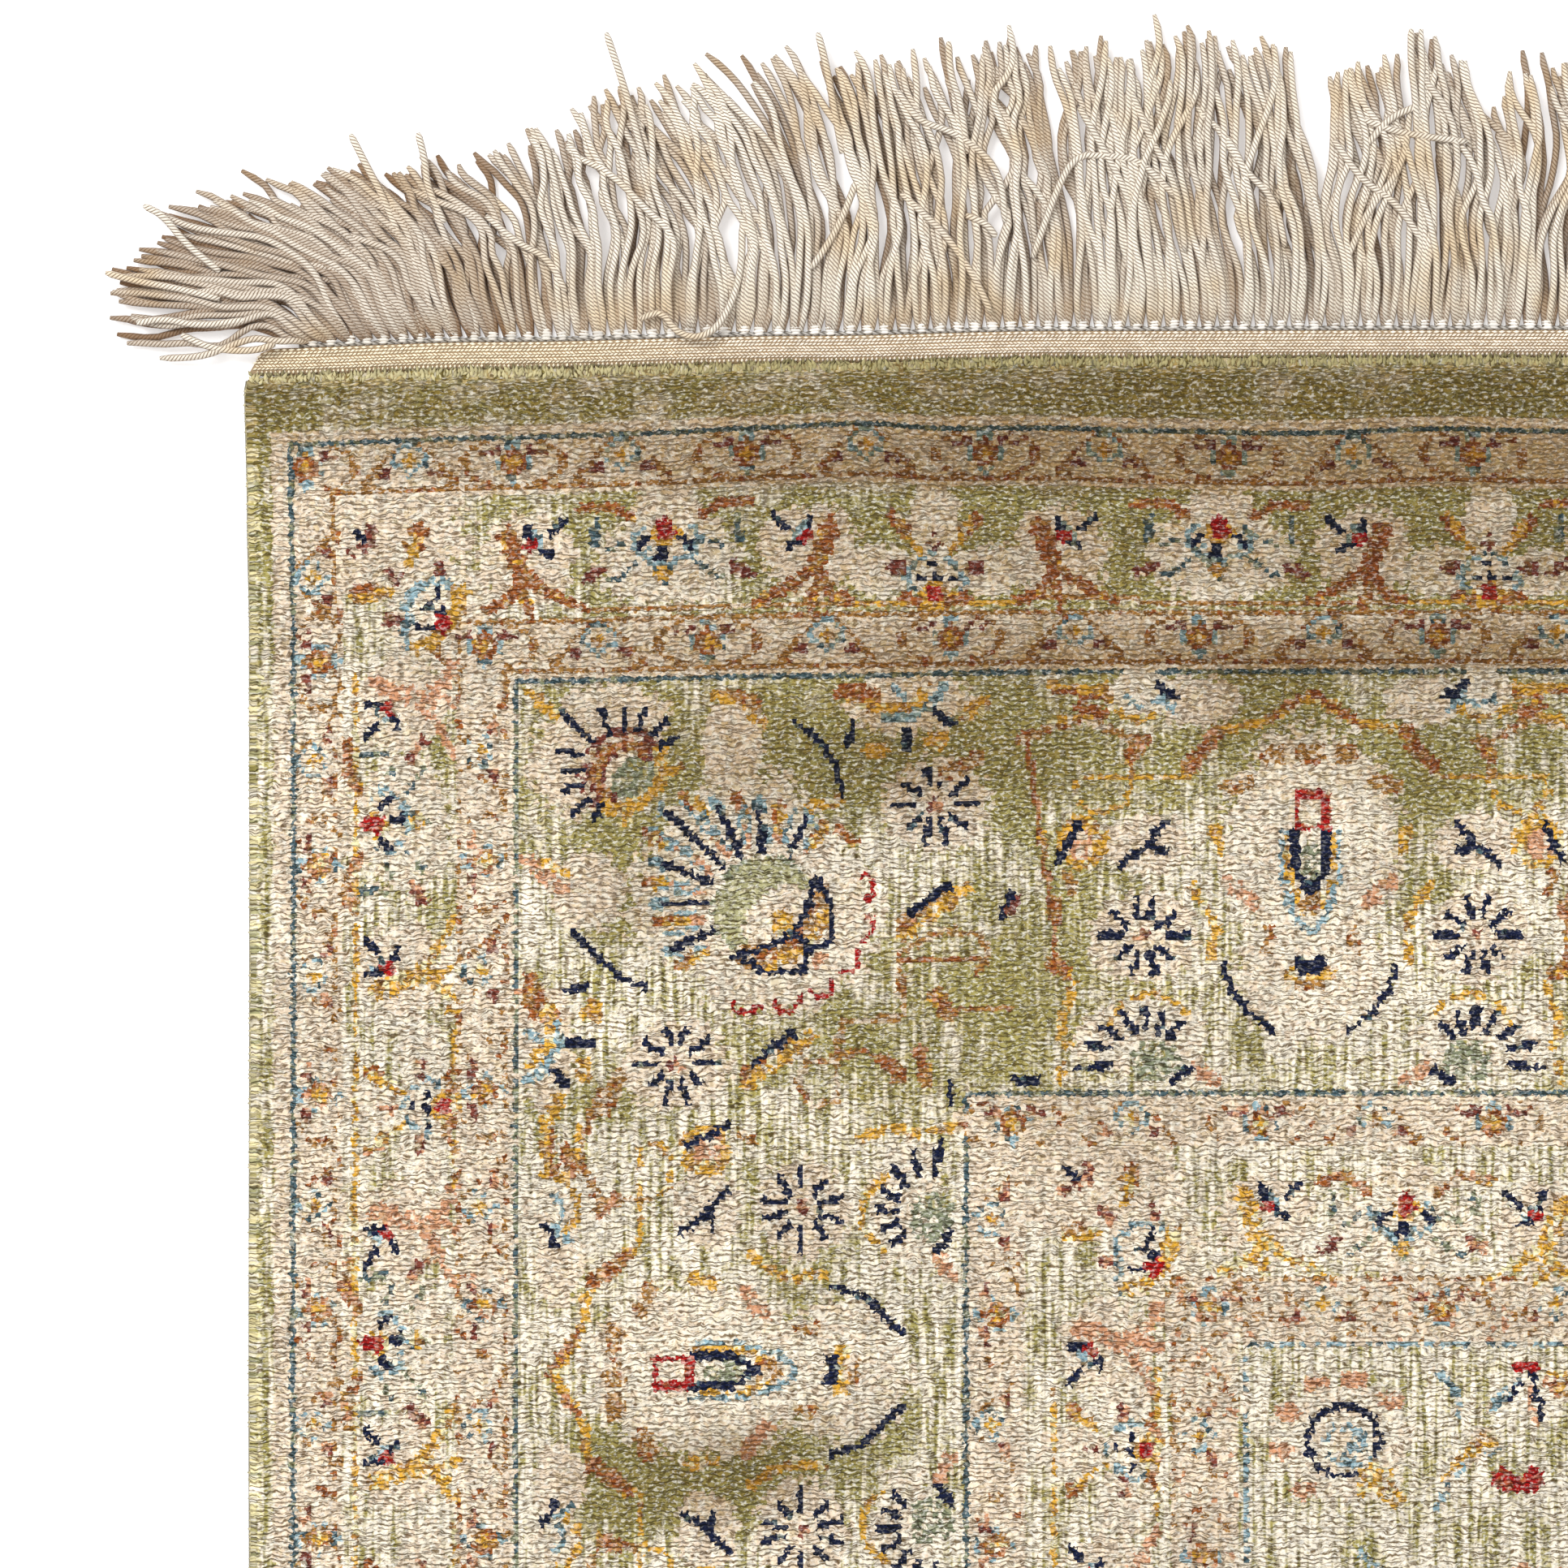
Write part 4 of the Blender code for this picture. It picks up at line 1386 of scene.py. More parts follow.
# Plain lines and grounds that run round the rug: yarn, corner as column,row, and how many columns
# and rows thick.
OUTER_FRAMES = """
    p 7,14 9,9
    k 14,23 1,1
    p 15,24 1,1
    - 16,25 24,24
    k 38,50 1,1
    p 39,51 9,9
    k 47,60 1,1
    p 48,61 1,1
    t 49,62 1,1
    - 50,63 87,87
"""
EDGE_FRAMES = """
    - 0,0 3,11
    l 0,0 1,2
    p 3,11 3,3
    t 6,13 1,1
"""
INNER_FRAMES = """
    t 136,146 1,1
    p 137,147 11,10
    - 148,157 29,29
    k 176,183 1,1
    p 177,184 12,12
    b 190,196 1,1
    - 191,197 74,74
"""
# Where motifs stand: motif, with a colon and a yarn where it is dyed at the place, lie, and
# column,row pairs.
OUTER_LAYOUT = """
    CORNER_GROUP TOP 18,32.2
    TOP_STEM TOP 0,48
    SIDE_STEM TOP 18.2,0
    BUD TOP 78.4,33.4 185.3,33.4
    BRANCH:r TOP_MIRRORED 52.5,34.6 155.2,34.6
    BRANCH:r TOP 105,34.6 211.7,34.6
    ARCH_FLOWER TOP 130.1,40.6 237.1,40.6
    BUD TOP 264.5,33.4
    BUD SIDE 22.4,89.8 22.4,194.3 22.4,299 22.4,404
    BRANCH:s SIDE_MIRRORED 24,67.2 24,172.4 24,272 24,377
    BRANCH:g SIDE 24,118.7 24,217 24,325
    ARCH_FLOWER SIDE 30,147.3 30,247 30,351
"""
CORNER_LAYOUT = """
    SMALL_FAN CORNER 69.8,80.1
    LARGE_FAN CORNER 96.8,107.6
    ROSETTE TOP 130.1,88.2 80,139.2
    CORNER_STROKES TOP 0,0
    UPPER_PATCH TOP 91,76
    LOWER_PATCH TOP 63,104
    CUT_FLOWER TOP 123.1,63.6
    CUT_FLOWER SIDE 50.4,133
    GOLD_LEAF TOP 128.6,109.4 98.6,138.6
"""
BETWEEN_LAYOUT = """
    ROSETTE SIDE 90,262.5 90,387.5
    GOLD_LEAF SIDE 66,262.5 114,388
"""
INNER_LAYOUT = """
    CORNER_GROUP TOP 155.6,162.4
    BUD TOP 220.6,169
    BRANCH:g TOP_MIRRORED 194.6,168.4
    BRANCH:g TOP 246.2,170.2
    BRANCH:s SIDE_MIRRORED 160,197.5
    ARCH_FLOWER SIDE 166,217
    INNER_STEM TOP 152.6,0
"""
INNER_REPEAT = """
    BUD SIDE 158.6,266
    BRANCH:s SIDE 160,242
    ARCH_FLOWER SIDE 166,290
"""
FIELD_REPEAT = """
    RING_FLOWER TOP 208.9,215.3
    SPRAY TOP 244.4,201
    RING_FLOWER TOP_MIRRORED 246,254
    CURVED_LEAF TOP 231,214 216,250
    HEART TOP 242.4,223.2
"""
# Wear, and painted sheen that pales yarns away from the ends: where, from one yarn, to another, and between
# which two shares of luck.
WEAR = """
    faded k p 0.3 0.56
    faded r k 0.3 0.5
    faded r s 0.5 0.62
    faded g l 0.3 0.44
    guards k p 0.56 0.9
    guards r p 0.62 0.84
    guards m s 0.3 0.7
    guards b p 0.3 0.5
    line t y 0.3 0.7
    line t p 0.7 0.85
    guards g l 0.44 0.6
    guards b c 0.5 0.66
    inmost p k 0.24 0.29
    inmost p s 0.36 0.41
    all p c 0 0.24
    all c p 0 0.34
    all r k 0 0.2
    all r g 0.2 0.24
    all k p 0 0.08
    all k r 0.14 0.26
    all g k 0 0.14
    all g c 0.14 0.22
    all b c 0 0.08
    all b t 0.16 0.3
    all m p 0 0.16
    all y - 0 0.3
    all t y 0 0.18
    all s p 0 0.22
    all n t 0 0.04
    all l - 0 0.4
    all l o 0.4 0.55
"""


class Guard(NamedTuple):
    """One narrow border: its flowers' row and column, and their places along the top and the side."""

    row: float
    column: float
    tops: tuple[float, ...]
    sides: tuple[float, ...]
    repeat_from: float
    repeat_step: float
    repeats: int


OUTER_GUARDS = (
    Guard(
        18.2, 10.6, (9.4, 29, 48.6, 69.8, 93.8, 116.8, 139.5, 163.1, 187.4, 210.9, 233.6, 264.5),
        (40, 57, 76.5, 98.3, 120, 144.4, 166, 187, 209.6, 233.1), 256, 22.6, 8,
    ),
    Guard(
        55.4, 43.2, (42.6, 65, 86.2, 109, 132.5, 156.8, 181, 204.6, 227.3, 250.4),
        (76.3, 98.1, 120, 144.4, 166.8, 187, 210.5, 233.9), 257, 22.4, 8,
    ),
)
INNER_GUARDS = (
    Guard(
        151.6, 142.0, (144.6, 167.6, 192.6, 215.4, 238, 261), (171, 190.4, 212.4, 235.6), 258, 22.4, 7,
    ),
    Guard(189.4, 182.2, (183, 205, 228, 250.4), (214, 237.6), 260, 22.4, 7),
)


@dataclass
class Design:
    """The whole layout: frames from the edge inwards, then what stands in each."""

    chart: KnotChart = field(default_factory=KnotChart)
    top_arch: Pair = (202.6, 63.4)  # its middle along the border, and the border's outer line
    side_arches: tuple[Pair, ...] = ((200.6, 53.0), (325.0, 53.0))
    inner_step: float = 49.0
    inner_repeats: int = 4
    field_step: float = 78.0
    field_repeats: int = 3
    wear_seed: int = 9
    # painted sheen: paler yarns on this share of the knots, past these rows from the ends
    sheen_paled_share: float = 0.8
    unpaled_rows: int = 66

    def draw(self) -> np.ndarray:
        """Draws one quarter, mirrors it and wears it.

        Returns:
            The whole chart.
        """
        self._frames(OUTER_FRAMES)
        self._guards(OUTER_GUARDS)
        self._motifs(OUTER_LAYOUT)
        self._frames(EDGE_FRAMES)
        self._motifs(CORNER_LAYOUT)
        self._arch_unit(Lie.TOP, Lie.TOP_MIRRORED, *self.top_arch)
        for arch in self.side_arches:
            self._arch_unit(Lie.SIDE, Lie.SIDE_MIRRORED, *arch)
        self._motifs(BETWEEN_LAYOUT)
        self._frames(INNER_FRAMES)
        self._guards(INNER_GUARDS)
        self._motifs(INNER_LAYOUT)
        for step in range(self.inner_repeats):
            self._motifs(INNER_REPEAT, step * self.inner_step)
        for step in range(self.field_repeats):
            self._motifs(FIELD_REPEAT, step * self.field_step)
        return self._worn(self.chart.whole())

    def _frames(self, frames: str) -> None:
        """Draws lines that run round the rug, as a corner whose arms reach the middle lines."""
        for letter, *words in read_rows(frames):
            column, row, wide, deep = (int(value) for pair in read_values(words) for value in pair)
            self.chart.knots[row : row + deep, column:] = YARN_LETTERS[letter]
            self.chart.knots[row:, column : column + wide] = YARN_LETTERS[letter]

    def _motifs(self, layout: str, down: float = 0.0) -> None:
        """Draws the motifs of a layout, moved down by some rows."""
        for what, lie, *words in read_rows(layout):
            name, _, yarn = what.partition(":")
            for column, row in read_values(words):
                Pen(self.chart, column, row + down, Lie[lie]).draw(Motif[name], yarn)

    def _guards(self, guards: Sequence[Guard]) -> None:
        """Sets the flowers of narrow borders along the top and down the side, two kinds in turn."""
        kinds = (Motif.GUARD_CLOSED, Motif.GUARD_OPEN)
        for guard in guards:
            for number, place in enumerate(guard.tops):
                Pen(self.chart, place, guard.row, Lie.TOP).draw(kinds[number % 2], "")
            sides = guard.sides
            sides += tuple(guard.repeat_from + guard.repeat_step * step for step in range(guard.repeats))
            for number, place in enumerate(sides):
                Pen(self.chart, guard.column, place, Lie.SIDE).draw(kinds[1 - number % 2], "")

    def _arch_unit(self, lie: Lie, mirrored: Lie, middle: float, start: float) -> None:
        """Draws one repeat of the broad border.

        Args:
            lie: How its right half lies.
            mirrored: How its left half lies.
            middle: The repeat's middle line, in knots along the border.
            start: The border's outer line, in knots from the edge.
        """
        def put(motif: Motif, along: float, inward: float, way: Lie) -> None:
            spot = (middle + along, start + inward)
            Pen(self.chart, *(spot if lie is Lie.TOP else spot[::-1]), way).draw(motif, "")

        if lie is Lie.TOP:
            put(Motif.ARCH_CURLS, 0, 0, lie)
        put(Motif.ARCH, 0, 0, lie)
        put(Motif.TUBE_FLOWER, 0, 31.6, lie)
        for side, way, other in ((1, lie, mirrored), (-1, mirrored, lie)):
            put(Motif.HALF_DAISY, side * 33.0, 0.6, other)
            put(Motif.TWIG, side * 32.0, 33.0, other)
            put(Motif.ROSETTE, side * 32.2, 51.4, way)
            put(Motif.GOLD_BUD, side * 44.6, 33.0, other)
            put(Motif.EDGE_FAN, side * 31.0, 75.4, other)

    def _worn(self, chart: np.ndarray) -> np.ndarray:
        """Breaks up the even colours as rubbed yarn does, and pales them away from the ends as painted
        sheen.
        """
        draw = np.random.default_rng(self.wear_seed)
        luck = draw.random(chart.shape)
        rows, columns = chart.shape
        row, column = np.indices(chart.shape)
        inward = np.minimum(row, rows - 1 - row)
        aside = np.minimum(column, columns - 1 - column)
        # Painted sheen: the silk seen with its nap looks paler, so knots away from the ends take paler
        # yarns.
        faded = (draw.random(chart.shape) < self.sheen_paled_share) & (inward > self.unpaled_rows)
        guards = faded & ((aside < 50) | ((aside > 136) & (inward > 146)))
        places = {
            "all": np.ones(chart.shape, bool),
            "faded": faded,
            "guards": guards,
            "line": guards & (aside > 20),
            "inmost": (aside > 176) & (inward > 183) & ~((aside > 189) & (inward > 195)),
        }
        worn = chart.copy()
        for place, yarn, other, *words in read_rows(WEAR):
            low, high = read_values(words)
            hit = places[place] & (chart == YARN_LETTERS[yarn]) & (luck >= low) & (luck < high)
            worn[hit] = YARN_LETTERS[other]
        return worn


# --- the pile -----------------------------------------------------------------------------------


@dataclass
class Pile:
    """The knotted pile on its foundation: one sheet, with the chart held on its faces."""

    height: float = 5.0
    half_x: float = 396.5
    half_y: float = 600.0
    corner_radius: float = 3.0
    unevenness: float = 0.365
    wave_lengths: Pair = (170.0, 230.0)
    ripple: float = 0.22
    side_wobble: float = 0.28
    edge: Table = (  # inset at the sides, inset at the ends, height
        (-1.2, 2.0, 4.8), (-2.9, 0.6, 4.3), (-2.7, 0.2, 3.9), (0.3, 0.0, 3.75), (0.3, 0.3, 0.0)
    )
    ripple_seed: int = 21
    baked_face: Pair = (0.004, 0.64)  # where it starts in the flat unwrapping, and its share
    baked_back: Pair = (0.655, 0.3)  # the same for the underside
    baked_walls: Pair = (0.962, 0.008)  # where the first one starts, and the step to the next
    baked_wall: float = 0.006  # how wide each one is

    def build(self, chart: np.ndarray, material: Material) -> Piece:
        """Makes the pile.

        Args:
            chart: The whole rug's yarn numbers, rows by columns.
            material: Its finish.

        Returns:
            The finished piece.
        """
        rows, columns = chart.shape
        down, across = rows // KNOTS_DOWN_FACE, columns // KNOTS_ACROSS_FACE
        j, i = np.meshgrid(np.arange(down + 1), np.arange(across + 1), indexing="ij")
        flat_x = (i / across * 2 - 1) * self.half_x
        flat_y = (1 - j / down * 2) * self.half_y
        top = self._laid(flat_x, flat_y, self.edge[0][:2], None)
        rim = self._rim(down, across)
        rim_x, rim_y = flat_x[rim[:, 0], rim[:, 1]], flat_y[rim[:, 0], rim[:, 1]]
        rings = [
            self._laid(rim_x, rim_y, (at_side, at_end), height)
            for at_side, at_end, height in self.edge[1:]
        ]
        under = self._laid(flat_x, flat_y, self.edge[-1][:2], 0.0)
        points = np.concatenate([top.reshape(-1, 3), *rings[:-1], under.reshape(-1, 3)])
        faces, knots, cells = self._faces(down, across, rim, len(rings) - 1)
        piece = new_piece("pile_cloth", points, faces)
        give_uv(piece, "knots", knots)
        self._give_chart(piece, chart, cells)
        self._give_ground(piece, points)
        give_uv(piece, "OFBake", self._bake_places(knots, down * across, len(rim), (columns, rows)))
        piece.data.materials.append(material)
        return ride_on_rug(piece, "pile_yarn", "pile")

    def _laid(self, x: np.ndarray, y: np.ndarray, inset: Pair, height: float | None) -> np.ndarray:
        """Returns points of the flat cut as they lie, held inside the rounded outline."""
        wide, long = self.half_x - inset[0], self.half_y - inset[1]
        radius = max(self.corner_radius - inset[1], 0.1)
        x = np.where(np.abs(x) >= self.half_x - 1e-6, np.sign(x) * wide, np.clip(x, -wide, wide))
        y = np.clip(y, -long, long)
        over_x = np.maximum(np.abs(x) - (wide - radius), 0)
        over_y = np.maximum(np.abs(y) - (long - radius), 0)
        span = np.hypot(over_x, over_y)
        pull = np.where((over_x > 0) & (over_y > 0), radius / np.maximum(span, 1e-6), 1.0)
        pull = np.minimum(pull, 1.0)
        x = x - np.sign(x) * over_x * (1 - pull)
        y = y - np.sign(y) * over_y * (1 - pull)
        at_x, at_y = Cloth.swayed(x, y + Cloth.row_wave(x, y))
        uneven = np.sin(y * 1.9 + 2.0 * np.sin(y * 0.31)) * self.side_wobble
        at_x = at_x + np.where(np.abs(x) > self.half_x + 2.0, np.sign(x) * uneven, 0.0)
        if height is None:
            over_x, over_y = math.tau * x / self.wave_lengths[0], math.tau * y / self.wave_lengths[1]
            z = self.height + self.unevenness * np.sin(over_x) * np.cos(over_y)
            z = z + self.ripple * soft_noise(x.shape, (38.0, 26.0), self.ripple_seed)
            border = (np.abs(x) >= wide - 1e-6) | (np.abs(y) >= long - 1e-6)
            z = np.where(border, self.edge[0][2] + (z - self.height) * 0.5, z)
        else:
            z = np.full(x.shape, height)
        return np.stack([at_x, at_y, z], axis=-1)

    @staticmethod
    def _rim(down: int, across: int) -> np.ndarray:
        """Returns the grid's outer points as (row, column), counter-clockwise from the upper left."""
        left = [(j, 0) for j in range(down)]
        low = [(down, i) for i in range(across)]
        right = [(j, across) for j in range(down, 0, -1)]
        high = [(0, i) for i in range(across, 0, -1)]
        return np.array(left + low + right + high)

    @staticmethod
    def _faces(
        down: int, across: int, rim: np.ndarray, rings: int
    ) -> tuple[list[list[int]], np.ndarray, np.ndarray]:
        """Returns the faces, each corner's place in knots, and each face's first knot."""
        grid = np.arange((down + 1) * (across + 1)).reshape(down + 1, across + 1)
        under = grid + grid.size + rings * len(rim)
        upper = np.stack([grid[:-1, :-1], grid[1:, :-1], grid[1:, 1:], grid[:-1, 1:]], axis=-1)
        lower = np.stack([under[:-1, :-1], under[:-1, 1:], under[1:, 1:], under[1:, :-1]], axis=-1)
        loops = [grid[rim[:, 0], rim[:, 1]]]
        loops += [grid.size + step * len(rim) + np.arange(len(rim)) for step in range(rings)]
        loops.append(under[rim[:, 0], rim[:, 1]])
        walls = [
            np.stack([first, second, np.roll(second, -1), np.roll(first, -1)], axis=-1)
            for first, second in zip(loops[:-1], loops[1:])
        ]
        faces = np.concatenate([upper.reshape(-1, 4), lower.reshape(-1, 4), *walls])
        place = np.zeros((under.max() + 1, 2))
        j, i = np.meshgrid(np.arange(down + 1), np.arange(across + 1), indexing="ij")
        spots = np.stack([i * KNOTS_ACROSS_FACE, j * KNOTS_DOWN_FACE], axis=-1).astype(float)
        place[grid] = spots
        place[under] = spots
        for loop in loops[1:-1]:
            place[loop] = spots[rim[:, 0], rim[:, 1]]
        corners = place[faces]
        cells = (corners.mean(axis=1) / (KNOTS_ACROSS_FACE, KNOTS_DOWN_FACE)).astype(int)
        cells = np.minimum(cells, (across - 1, down - 1))
        return faces.tolist(), corners.reshape(-1, 2), cells

    @staticmethod
    def _give_chart(piece: Piece, chart: np.ndarray, cells: np.ndarray) -> None:
        """Writes each face's twenty knots as four values of five digits."""
        col, row = cells[:, 0] * KNOTS_ACROSS_FACE, cells[:, 1] * KNOTS_DOWN_FACE
        give_value(piece, "corner_knot", "FACE", np.stack([col, row, row * 0], axis=1).astype(float))
        for line in range(KNOTS_DOWN_FACE):
            value = np.zeros(len(cells))
            for knot in range(KNOTS_ACROSS_FACE):
                value += chart[row + line, col + knot].astype(float) * DIGIT_BASE**knot
            give_value(piece, f"knots_{line}", "FACE", value)

    @staticmethod
    def _give_ground(piece: Piece, points: np.ndarray) -> None:
        """Writes the clouds on the points: the painted nap shade, how green and how light it is."""
        for name, values in Ground().clouds(points[:, 0], points[:, 1]).items():
            give_value(piece, name, "POINT", values)

    def _bake_places(self, knots: np.ndarray, cells: int, rim: int, size: tuple[int, int]) -> np.ndarray:
        """Returns a flat unwrapping: the face, the back squeezed beside it, then the walls in strips."""
        corners = knots.reshape(-1, 4, 2)
        face_start, face_share = self.baked_face
        back_start, back_share = self.baked_back
        across = corners[..., 0] / size[0]
        places = np.stack([corners[..., 1] / size[1], across * face_share + face_start], axis=-1)
        places[cells : 2 * cells, :, 1] = across[cells : 2 * cells] * back_share + back_start
        share = np.arange(rim) / rim
        after = share + 1 / rim
        for band, start in enumerate(range(2 * cells, len(corners), rim)):
            low = np.full(rim, self.baked_walls[0] + band * self.baked_walls[1])
            high = low + self.baked_wall
            strip_places = np.stack([share, low, share, high, after, high, after, low], axis=-1)
            places[start : start + rim] = strip_places.reshape(rim, 4, 2)
        return places.reshape(-1, 2)


@dataclass
class Ground:
    """Where painted nap shade darkens and warms the pile, and how green the ground is, in clouds over the
    rug.
    """

    seed: int = 5
    base_nap_shade: float = 0.03
    base_olive: float = 0.24
    grid: tuple[int, int] = (241, 161)
    zones: Table = (  # x, y, half width, half depth, nap shade, olive
        (0, 590, 540, 13, 0.8, 0.42), (60, 571, 440, 8, 0.95, 0.3), (75, 547, 415, 18, 0.66, 0.95),
        (80, 518, 410, 9, 0.78, 0.3), (-40, 492, 250, 24, 0.3, 0.4), (-392, 560, 10, 60, 0.1, 0.25),
        (-396, 0, 8, 720, 0.06, 0.3), (396, 0, 8, 720, 0.06, 0.3), (0, -592, 540, 9, 0.12, 0.35),
        (-262, 486, 60, 22, 0.36, 0.4), (-188, 492, 32, 20, 0.3, 0.4),
        (-288, 448, 18, 22, 0.4, 0.7), (-196, 408, 40, 30, 0.22, 0.4), (-250, 405, 20, 18, 0.22, 0.4),
        (-275, 276, 34, 16, 0.5, 0.8), (-235, 285, 26, 14, 0.36, 0.5), (-105, 500, 20, 14, 0.35, 0.6),
        (-60, 470, 14, 30, 0.22, 0.5), (-155, 372, 22, 16, 0.22, 0.4), (-242, 345, 12, 26, 0.25, 0.5),
        (-300, 392, 20, 12, 0.25, 0.4), (-110, 408, 8, 24, 0.15, 0.4), (-165, 440, 30, 34, 0.12, 0.3),
        (30, 330, 40, 60, 0.2, 0.3), (120, -80, 150, 60, 0.3, 0.3), (-180, -150, 90, 50, 0.25, 0.3),
        (160, 180, 60, 90, 0.2, 0.3), (-60, -420, 120, 70, 0.3, 0.35), (-350, 470, 10, 40, 0.1, 0.2),
        (150, 590, 320, 12, 0.05, 0.25), (60, 382, 262, 7, 0.16, 0.0), (60, 326, 190, 9, 0.24, 0.0),
        (-123, 0, 10, 330, 0.24, 0.0),
    )

    def clouds(self, x: np.ndarray, y: np.ndarray) -> dict[str, np.ndarray]:
        """Works out the clouds at points of the rug.

        Args:
            x: Where across the rug.
            y: Where along it.

        Returns:
            The nap shade, olive and shade values by name.
        """
        wide_clouds = soft_noise(self.grid, (60.0, 40.0), self.seed)
        small_clouds = soft_noise(self.grid, (22.0, 14.0), self.seed + 1)
        tint = soft_noise(self.grid, (40.0, 30.0), self.seed + 2)
        light = soft_noise(self.grid, (50.0, 18.0), self.seed + 3)
        last_row, last_col = self.grid[0] - 1, self.grid[1] - 1
        col = np.clip(((x / RUG_WIDTH + 0.5) * last_col).astype(int), 0, last_col)
        row = np.clip(((0.5 - y / RUG_LENGTH) * last_row).astype(int), 0, last_row)
        nap = self.base_nap_shade + (wide_clouds + small_clouds)[row, col] * 0.05
        olive = self.base_olive + tint[row, col] * 0.12
        for px, py, wide, deep, more_nap_shade, more_olive in self.zones:
            near = np.exp(-(((x - px) / wide) ** 4) - ((y - py) / deep) ** 4)
            nap = nap + near * more_nap_shade
            olive = olive + near * more_olive
        shade = 1.0 + light[row, col] * 0.1
        return {"nap": np.clip(nap, 0, 1), "olive": olive, "shade": shade}


# --- the sides ----------------------------------------------------------------------------------


@dataclass
class Selvedge:
    """The overcast cord along a long side: a core with one turn of yarn after another."""

    width: float = 3.2
    reach: float = 598.8
    stations_a_half: int = 700
    section: Table = ((-0.36, 0.0), (0.56, 0.0), (0.58, 3.4), (0.25, 3.7), (-0.22, 3.2), (-0.5, 1.6))
    core_share: float = 0.9
    end_share: float = 0.75
    end_length: float = 3.0
    turn_pitch: float = 1.25
    turn_inset: float = 2.0
    turn_shift: float = -0.05
    turn_height: float = 1.85
    turn_slant: float = 0.12
    turn_half: Triple = (1.72, 0.74, 1.55)
    turn_grain: Grain = Grain(segments=6, rings=4, turn_jitter=0.3, size_jitter=0.16)

    def build(self, name: str, right: bool, material: Material) -> Piece:
        """Makes one side's cord, the right one being the left one turned half round."""
        y = np.arange(-self.reach, self.reach + 0.01, self.reach / self.stations_a_half)
        share = self.end_share + (1 - self.end_share) * smooth((self.reach - np.abs(y)) / self.end_length)
        middle = -RUG_WIDTH / 2 + self.width / 2
        x, at_y = Cloth.swayed(np.full(y.shape, middle), y)
        wide, high = np.array(self.section).T
        across = x[:, None] + wide * self.width * share[:, None]
        points, faces = strip(across, at_y[:, None], high * share[:, None] * self.core_share)
        turns = np.arange(-self.reach + self.turn_inset, self.reach - self.turn_inset, self.turn_pitch)
        turn_x, turn_y = Cloth.swayed(np.full(turns.shape, middle + self.turn_shift), turns)
        grains = Grains()
        grains.add(turn_x, turn_y, self.turn_height, self.turn_slant, self.turn_half)
        piece = grains.grown(name, points, faces, right, self.turn_grain, material)
        return ride_on_rug(piece, "selvedge_yarn", "selvedge_right" if right else "selvedge_left")


@dataclass
class EdgeTufts:
    """The last row of pile at an end, whose tufts lean out over the flat band."""

    side_inset: float = 0.8
    pitch: float = 1.0
    stations: int = 200
    core: Table = ((-2.4, 4.3), (-1.2, 4.3), (-0.5, 3.6), (-0.5, 0.4), (-2.4, 0.4))
    rows: Table = ((-1.5, 4.5, 1.3), (-0.5, 4.1, 1.5), (0.2, 3.2, 1.3))  # outward, height, half length
    half_width: float = 0.56
    half_height: float = 0.6
    turn_spread: float = 0.5
    grain: Grain = Grain(segments=4, rings=3, size_jitter=0.3, seed=12)
    seed: int = 31

    def build(self, name: str, lower: bool, material: Material) -> Piece:
        """Makes the row of tufts at one end."""
        draw = np.random.default_rng(self.seed)
        half = RUG_WIDTH / 2 - self.side_inset
        x = np.linspace(-half, half, self.stations)[:, None]
        outward, high = np.array(self.core).T
        points, faces = strip(x, Cloth.end_line(x) + outward, high)
        grains = Grains()
        count = int(math.ceil(2 * half / self.pitch))
        for out, height, length in self.rows:
            spots = np.arange(-half, half, self.pitch) + draw.uniform(-0.3, 0.3, count)
            y = Cloth.end_line(spots) + out + draw.uniform(-0.7, 0.5, count)
            turn = math.pi / 2 + draw.normal(0.0, self.turn_spread, count)
            z = height + draw.uniform(-0.3, 0.3, count)
            grains.add(spots, y, z, turn, (length, self.half_width, self.half_height))
        return ride_on_rug(grains.grown(name, points, faces, lower, self.grain, material), "pile_yarn")


# --- the end bands ------------------------------------------------------------------------------


